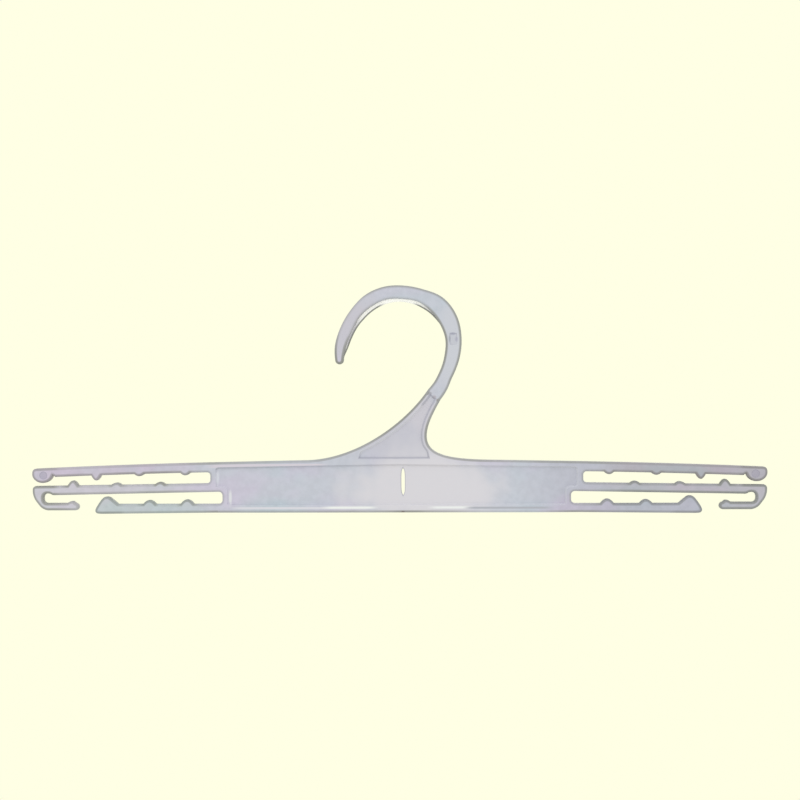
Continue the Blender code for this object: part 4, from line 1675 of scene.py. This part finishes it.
@dataclass(frozen=True)
class CentrePlate:
    """The plate with its rims, sunk panel, slit and the roots of the six arms.

    The tables give, along the hanger in millimetres, how strong the painted shade of the panel's steps
    and the plate's outer edges is, a painted highlight below zero. end_line and step_line hold the left
    end's value and then the right one's.
    """

    bottom_z: float = -87.15 * MM
    top_rim: float = 2.0 * MM
    bottom_rim: float = 2.9 * MM
    panel_centre_top_z: float = -66.95 * MM
    panel_end_x: float = 75.2 * MM
    panel_step_x: float = 70.4 * MM
    panel_step_z: float = -76.9 * MM
    panel_corner: float = 1.4 * MM
    panel_sample: float = 2.0 * MM
    slit: Point = mm(3.0, -74.4)
    slit_half_length: float = 6.3 * MM
    slit_half_width: float = 1.2 * MM
    slit_line: float = 0.75
    slit_fullness: float = 2.6
    slit_sides: int = 16
    top_line: Table = Table(((-60.0, 0.45), (-30.0, 0.6), (-15.0, 0.2), (30.0, 0.0), (45.0, -0.35)), MM)
    bottom_line: Table = Table(
        (
            (-60.0, 0.1), (-28.0, 0.7), (-12.0, 0.8), (0.0, 0.0),
            (12.0, 0.5), (26.0, 0.5), (33.0, -0.3), (62.0, -0.4),
        ),
        MM,
    )
    end_line: Point = (-0.1, -0.45)
    step_line: Point = (-0.3, -0.45)
    top_edge: Table = Table(
        ((-78.0, 0.9), (-60.0, 0.65), (-35.0, 0.65), (-25.0, 1.0), (12.0, 1.0), (14.0, 0.8), (78.0, 0.85)), MM
    )
    bottom_edge: Table = Table(
        (
            (-78.0, 0.9), (-70.0, 0.5), (-12.0, 0.65), (0.0, 1.0), (8.0, 0.9),
            (25.0, 0.6), (32.0, 0.15), (62.0, 0.15), (73.0, 0.9),
        ),
        MM,
    )
    slot_line: float = 0.4
    upper_slot_x: float = 77.2 * MM
    lower_slot_x: float = 72.15 * MM
    upper_corner: float = 1.4 * MM
    lower_corner: float = 1.6 * MM
    top_turn_x: float = 78.0 * MM
    bottom_turn_x: float = 60.0 * MM
    long_step: float = 6.0 * MM

    @staticmethod
    def _slot(above: ArmLine, below: ArmLine, x: float, corner: float) -> list[Point]:
        """Draw the slot between two arms, each arm's root reaching past its seam.

        Args:
            above: The arm above the slot.
            below: The arm below it.
            x: Where the slot ends in the plate.
            corner: How far its corners are rounded.

        Returns:
            The slot's outline, from the arm above to the arm below.
        """
        above_x, below_x = above.seam_x + SEAM_OVERLAP, below.seam_x + SEAM_OVERLAP
        start, end = (above_x, above.under(above_x)), (below_x, below.top(below_x))
        path = (start, (x, above.under(x)), (x, below.top(x)), end)
        return [start, *rounded(path, (corner, corner)), end]

    def end(self) -> list[Point]:
        """Draw the right end round both slots.

        Returns:
            The points.
        """
        upper_x, lower_x = UPPER_LINE.seam_x + SEAM_OVERLAP, LOWER_LINE.seam_x + SEAM_OVERLAP
        points = [(upper_x, UPPER_LINE.top(upper_x))]
        points += self._slot(UPPER_LINE, MIDDLE_LINE, self.upper_slot_x, self.upper_corner)
        points += self._slot(MIDDLE_LINE, LOWER_LINE, self.lower_slot_x, self.lower_corner)
        return points + [(lower_x, LOWER_LINE.under(lower_x))]

    def panel_outline(self) -> list[Point]:
        """Draw the sunk panel, stepped at both ends to pass the lower slots.

        Returns:
            The points.
        """
        foot_z = self.bottom_z + self.bottom_rim
        path = (
            (0.0, self.panel_centre_top_z),
            (self.panel_end_x, UPPER_LINE.top(self.panel_end_x) - self.top_rim),
            (self.panel_end_x, self.panel_step_z),
            (self.panel_step_x, self.panel_step_z),
            (self.panel_step_x, foot_z),
            (0.0, foot_z),
        )
        half = rounded(path, [self.panel_corner] * 4)
        return [path[0], *half, *mirrored(half)]

    def line_samples(self) -> list[Sample]:
        """Give places along the sides of the panel and the slit, with how strong the painted shade of their
        steps is, a painted highlight below zero.

        Returns:
            The places, each with its strength.
        """
        outline = self.panel_outline()
        samples = []
        middle_z = (self.panel_centre_top_z + self.bottom_z + self.bottom_rim) / 2
        for start, end in zip(outline, outline[1:] + outline[:1]):
            for x, z in straight(start, end, self.panel_sample)[1:]:
                share = (self.top_line if z > middle_z else self.bottom_line).straight(x)
                if abs(x) > self.panel_end_x - NEAR:
                    share = self.end_line[x > 0.0]
                elif abs(x) > self.panel_step_x - NEAR and z < self.panel_step_z + self.panel_corner:
                    share = self.step_line[x > 0.0]
                samples.append((x, z, share))
        return samples + [(x, z, self.slit_line) for x, z in self.slit_outline()]

    def edge_line(self, place: Vector) -> float:
        """Give how dark the painted shade of the rounded edge is at a place on the plate or the gusset.

        Args:
            place: The place.

        Returns:
            The edge's darkness.
        """
        low = self.bottom_z + self.bottom_rim / 2
        if abs(place.x) > self.panel_step_x and low < place.z < UPPER_LINE.top(abs(place.x)) - self.top_rim:
            return self.slot_line
        return (self.bottom_edge if place.z < low else self.top_edge).straight(place.x)

    def slit_outline(self) -> list[Point]:
        """Draw the slit, pointed at both ends and nearly straight between them.

        Returns:
            The points.
        """
        right = []
        for angle in evenly(0.0, math.pi, self.slit_sides):
            share = math.cos(angle)
            width = self.slit_half_width * (1.0 - abs(share) ** (2 * self.slit_fullness))
            right.append((self.slit[0] + width, self.slit[1] + share * self.slit_half_length))
        return right + mirrored(right, self.slit[0])[1:-1]


@dataclass(frozen=True)
class HangerBody:
    """The continuous moulding: hook, gusset, plate and arm roots."""

    hook: RailHook = RailHook()
    gusset: Gusset = Gusset()
    plate: CentrePlate = CentrePlate()
    relief: Relief = Relief()
    web_half: float = 0.9 * MM
    panel_steps: tuple[Point, ...] = mm_rows(
        (0.06, 0.0), (0.14, 0.04), (0.14, 0.13), (0.22, 0.56), (0.14, 0.13), (0.14, 0.04), (0.06, 0.0)
    )
    slit_steps: tuple[Point, ...] = mm_rows((0.05, 0.0), (0.24, 0.05), (0.14, 0.15), (0.02, 0.70))
    mark_floor_line: float = 0.4
    mark_lit_line: float = 0.4
    mark_lit_x: float = 1.0 * MM
    mark_lit_z: float = 1.9 * MM
    mark_slope: float = 1.3
    neck_depth: float = 0.5 * MM
    neck_width: float = 0.7 * MM
    neck_reach: float = 6.0 * MM
    neck_line: float = 0.8
    hook_edge_line: float = 0.6
    gusset_slope: float = 1.4

    def outline(self) -> list[Point]:
        """Draw the whole outline, up the hook's outside and round the hanger.

        Returns:
            The points.
        """
        plate = self.plate
        left_edge = self.hook.edge() + self.gusset.sweep(self.hook)
        right_end, foot = plate.end(), self.gusset.foot(self.hook)
        turn_z = UPPER_LINE.top(plate.top_turn_x)
        points = left_edge + straight(left_edge[-1], (-plate.top_turn_x, turn_z), plate.long_step)[1:]
        points += mirrored(right_end)[::-1]
        low_left, low_right = (-plate.bottom_turn_x, plate.bottom_z), (plate.bottom_turn_x, plate.bottom_z)
        points += straight(low_left, low_right, plate.long_step) + right_end[::-1]
        return points + straight((plate.top_turn_x, turn_z), foot[-1], plate.long_step)[:-1] + foot[::-1]

    def build(self, finish: FrostedPlastic, effects: Effects) -> Item:
        """Model the moulding.

        Args:
            finish: Its finish.
            effects: The node groups of the finishes.

        Returns:
            The piece.
        """
        half = self.relief.half_thickness
        mould = Mould("hanger_body", self.outline(), self.relief)
        mould.open_face()
        mould.sink(self.hook.mark_outline(), half, EJECTOR_MARK, self.mark_slope)
        mould.sink(self.gusset.panel_outline(self.hook), half, self.panel_steps, self.gusset_slope)
        mould.open_face()
        mould.sink(self.plate.panel_outline(), half, self.panel_steps)
        mould.open_face()
        mould.close_level(half)
        mould.sink(self.plate.slit_outline(), self.web_half, self.slit_steps)
        mould.close_level(self.web_half)
        mould.close_back()
        upper_x, lower_x = UPPER_LINE.seam_x, LOWER_LINE.seam_x
        lower_z = LOWER_LINE.top(lower_x) + NEAR
        for sign in (side.value for side in Side):
            mould.cut(sign * upper_x, -sign, lambda place: sign * place.x > upper_x)
            mould.cut(sign * lower_x, -sign, lambda place: sign * place.x > lower_x and place.z < lower_z)
        piece = mould.finish()
        self._write_lines(piece)
        finish.dress(piece, effects)
        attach(piece, ROOT_BODY)
        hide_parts("rail_hook", "hook_gusset", "centre_plate")
        return piece

    def _write_lines(self, piece: Item) -> None:
        """Write down how strong the painted shade of the edge and of the steps into the panels is at each
        point.

        Args:
            piece: The moulding.
        """
        samples = np.array(self.gusset.line_samples(self.hook) + self.plate.line_samples())
        lowest_mark = self.hook.centre[1] - self.hook.stations.column(1)[0]
        floor = self.relief.half_thickness - sum(fall for _, fall in EJECTOR_MARK) + NEAR
        left, right = (side[0] for side in self.gusset.panel_sides(self.hook))
        along = heading(left, right)
        mark = self.hook.section(self.hook.mark_deg)[0]
        edges, lines = read_values(piece, EDGE_ATTRIBUTE), read_values(piece, LINE_ATTRIBUTE)
        for index, place in enumerate(vert.co for vert in piece.data.vertices):
            off_x, off_z = place.x - left[0], place.z - left[1]
            off_neck = abs(off_x * along[1] - off_z * along[0] - self.neck_depth)
            is_edge = edges[index] > 0.0
            if is_edge and off_neck < self.neck_width and abs(off_x) < self.neck_reach:
                edges[index], lines[index] = 1.0, self.neck_line
            elif is_edge and place.z > self.gusset.panel_top_left_z:
                share = self.hook.edge_share(place)
                edges[index] *= share
                lines[index] = self.hook_edge_line + (1.0 - self.hook_edge_line) * share
            elif is_edge:
                lines[index] = self.plate.edge_line(place)
            elif place.z < lowest_mark:
                off = np.hypot(samples[:, 0] - place.x, samples[:, 1] - place.z)
                lines[index] = samples[np.argmin(off), 2]
            elif abs(place.y) < floor:
                lines[index] = self.mark_floor_line
            elif place.x > mark[0] - self.mark_lit_x and place.z < mark[1] + self.mark_lit_z:
                lines[index] = self.mark_lit_line
        write_values(piece, EDGE_ATTRIBUTE, edges)
        write_values(piece, LINE_ATTRIBUTE, lines)

    def build_lip(self, finish: ClearLip, effects: Effects) -> Item:
        """Model the thin lip along the hook's inner edge.

        Args:
            finish: Its finish.
            effects: The node groups of the finishes.

        Returns:
            The piece.
        """
        mould = Mould("hook_lip", self.hook.lip_outline(), self.hook.lip_relief)
        mould.close_back()
        piece = mould.finish()
        self.hook.write_fused(piece)
        finish.dress(piece, effects)
        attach(piece, ROOT_BODY)
        return piece


# Studio


def add_to_scene(name: str, data: bpy.types.ID) -> Item:
    """Put a lamp or a camera into the scene.

    Args:
        name: Its name.
        data: The lamp or the camera.

    Returns:
        The object that holds it.
    """
    item = bpy.data.objects.new(name, data)
    bpy.context.scene.collection.objects.link(item)
    return item


@dataclass(frozen=True)
class Lamp:
    """A soft square lamp: its name, its place, its size and its power."""

    name: str
    place: tuple[float, float, float]
    size: float
    power: float


@dataclass(frozen=True)
class Studio:
    """The pale floor, the soft lamps, the backdrop colour and the camera."""

    backdrop: Colour = (1.0, 1.0, 0.78)
    fill: float = 0.8
    fill_colour: Colour = (0.985, 0.985, 1.0)
    floor_colour: Colour = (0.86, 0.86, 0.74)
    floor_roughness: float = 0.9
    floor_z: float = -0.34
    floor_radius: float = 0.45
    floor_sides: int = 96
    fade_shares: Point = (0.45, 0.98)
    lamps: tuple[Lamp, ...] = (
        Lamp("lamp_front_high", (-0.25, -0.75, 0.75), 0.7, 1.9),
        Lamp("lamp_front_low", (0.3, -0.8, -0.28), 0.5, 0.6),
        Lamp("lamp_back_high", (0.3, 0.75, 0.7), 0.7, 1.9),
    )
    camera_distance: float = 0.7
    camera_yaw_deg: float = 2.97
    camera_roll_deg: float = 0.29
    camera_x: float = 1.87 * MM
    camera_z: float = -40.66 * MM
    pixels_per_metre: float = 2412.5
    sensor: float = 36.0

    def build(self) -> None:
        """Set up everything round the hanger."""
        self._world()
        self._floor()
        self._lamps()
        self._camera()

    def _world(self) -> None:
        """Show the backdrop's colour to the camera and in gloss, and give a neutral fill light."""
        world = bpy.data.worlds.new("studio_world")
        bpy.context.scene.world = world
        world.use_nodes = True
        world.node_tree.nodes.clear()
        w = Wiring(world.node_tree)
        rays = w.add("LightPath").outputs
        seen = w.math("MAXIMUM", rays["Is Camera Ray"], rays["Is Glossy Ray"])
        seen = w.math("MAXIMUM", seen, rays["Is Transmission Ray"])
        fill = w.add("Background", {"Color": self.fill_colour, "Strength": self.fill}).outputs[0]
        shown = w.add("Background", {"Color": self.backdrop, "Strength": 1.0}).outputs[0]
        mixed = w.add("MixShader", {"Fac": seen, 1: fill, 2: shown}).outputs[0]
        w.add("OutputWorld", {"Surface": mixed})

    def _floor(self) -> None:
        """Lay a pale round floor well below the hanger, its rim fading away."""
        deselect_all()
        place = (0.0, 0.0, self.floor_z)
        bpy.ops.mesh.primitive_circle_add(
            vertices=self.floor_sides, radius=self.floor_radius, fill_type="NGON", location=place
        )
        bpy.ops.object.transform_apply(location=True)
        floor = bpy.context.object
        floor.name = "studio_floor"
        material = bpy.data.materials.new("pale_floor")
        material.use_nodes = True
        shader = material.node_tree.nodes["Principled BSDF"].inputs
        w = Wiring(material.node_tree)
        w.feed(shader["Base Color"], self.floor_colour)
        w.feed(shader["Roughness"], self.floor_roughness)
        flat = w.vector("MULTIPLY", {0: w.add("TexCoord").outputs["Object"], 1: (1.0, 1.0, 0.0)})[0]
        low, high = (self.floor_radius * share for share in self.fade_shares)
        w.feed(shader["Alpha"], w.fade(w.vector("LENGTH", {0: flat})["Value"], low, high))
        floor.data.materials.append(material)

    def _lamps(self) -> None:
        """Hang soft lamps in front and behind, high and low."""
        for lamp in self.lamps:
            light = bpy.data.lights.new(lamp.name, "AREA")
            light.shape = "SQUARE"
            light.size = lamp.size
            light.energy = lamp.power
            item = add_to_scene(lamp.name, light)
            item.location = lamp.place
            aim = Vector((0.0, 0.0, self.camera_z)) - Vector(lamp.place)
            item.rotation_euler = aim.to_track_quat("-Z", "Y").to_euler()

    def _camera(self) -> None:
        """Place the camera level with the hanger, a little to its right."""
        yaw, roll = math.radians(self.camera_yaw_deg), math.radians(self.camera_roll_deg)
        back = Vector((math.sin(yaw), -math.cos(yaw), 0.0))
        right, up = Vector((math.cos(yaw), math.sin(yaw), 0.0)), Vector((0.0, 0.0, 1.0))
        rolled_right = right * math.cos(roll) - up * math.sin(roll)
        rolled_up = up * math.cos(roll) + right * math.sin(roll)
        data = bpy.data.cameras.new("photo_camera")
        data.sensor_width = self.sensor
        focal_pixels = self.pixels_per_metre * self.camera_distance / math.cos(yaw)
        data.lens = focal_pixels * self.sensor / IMAGE_SIDE
        camera = add_to_scene("photo_camera", data)
        turn = Matrix((rolled_right, rolled_up, back)).transposed().to_4x4()
        place = Vector((self.camera_x, 0.0, self.camera_z)) + back * self.camera_distance
        camera.matrix_world = Matrix.Translation(place) @ turn
        bpy.context.scene.camera = camera


def main() -> None:
    """Build the hanger and the studio round it."""
    logging.basicConfig(level=logging.INFO, format="%(name)s: %(message)s")
    bpy.context.scene.view_settings.view_transform = "Standard"
    effects = Effects()
    body = HangerBody()
    pieces = [body.build(FrostedPlastic("frosted_body"), effects)]
    pieces.append(body.build_lip(ClearLip("clear_lip"), effects))
    for arm in (UpperArm(), MiddleArm(), LowerArm()):
        pieces += arm.build(effects)
    for piece in pieces:
        log.info("%s is built, with %d faces", piece.name, len(piece.data.polygons))
    Studio().build()


if __name__ == "__main__":
    main()
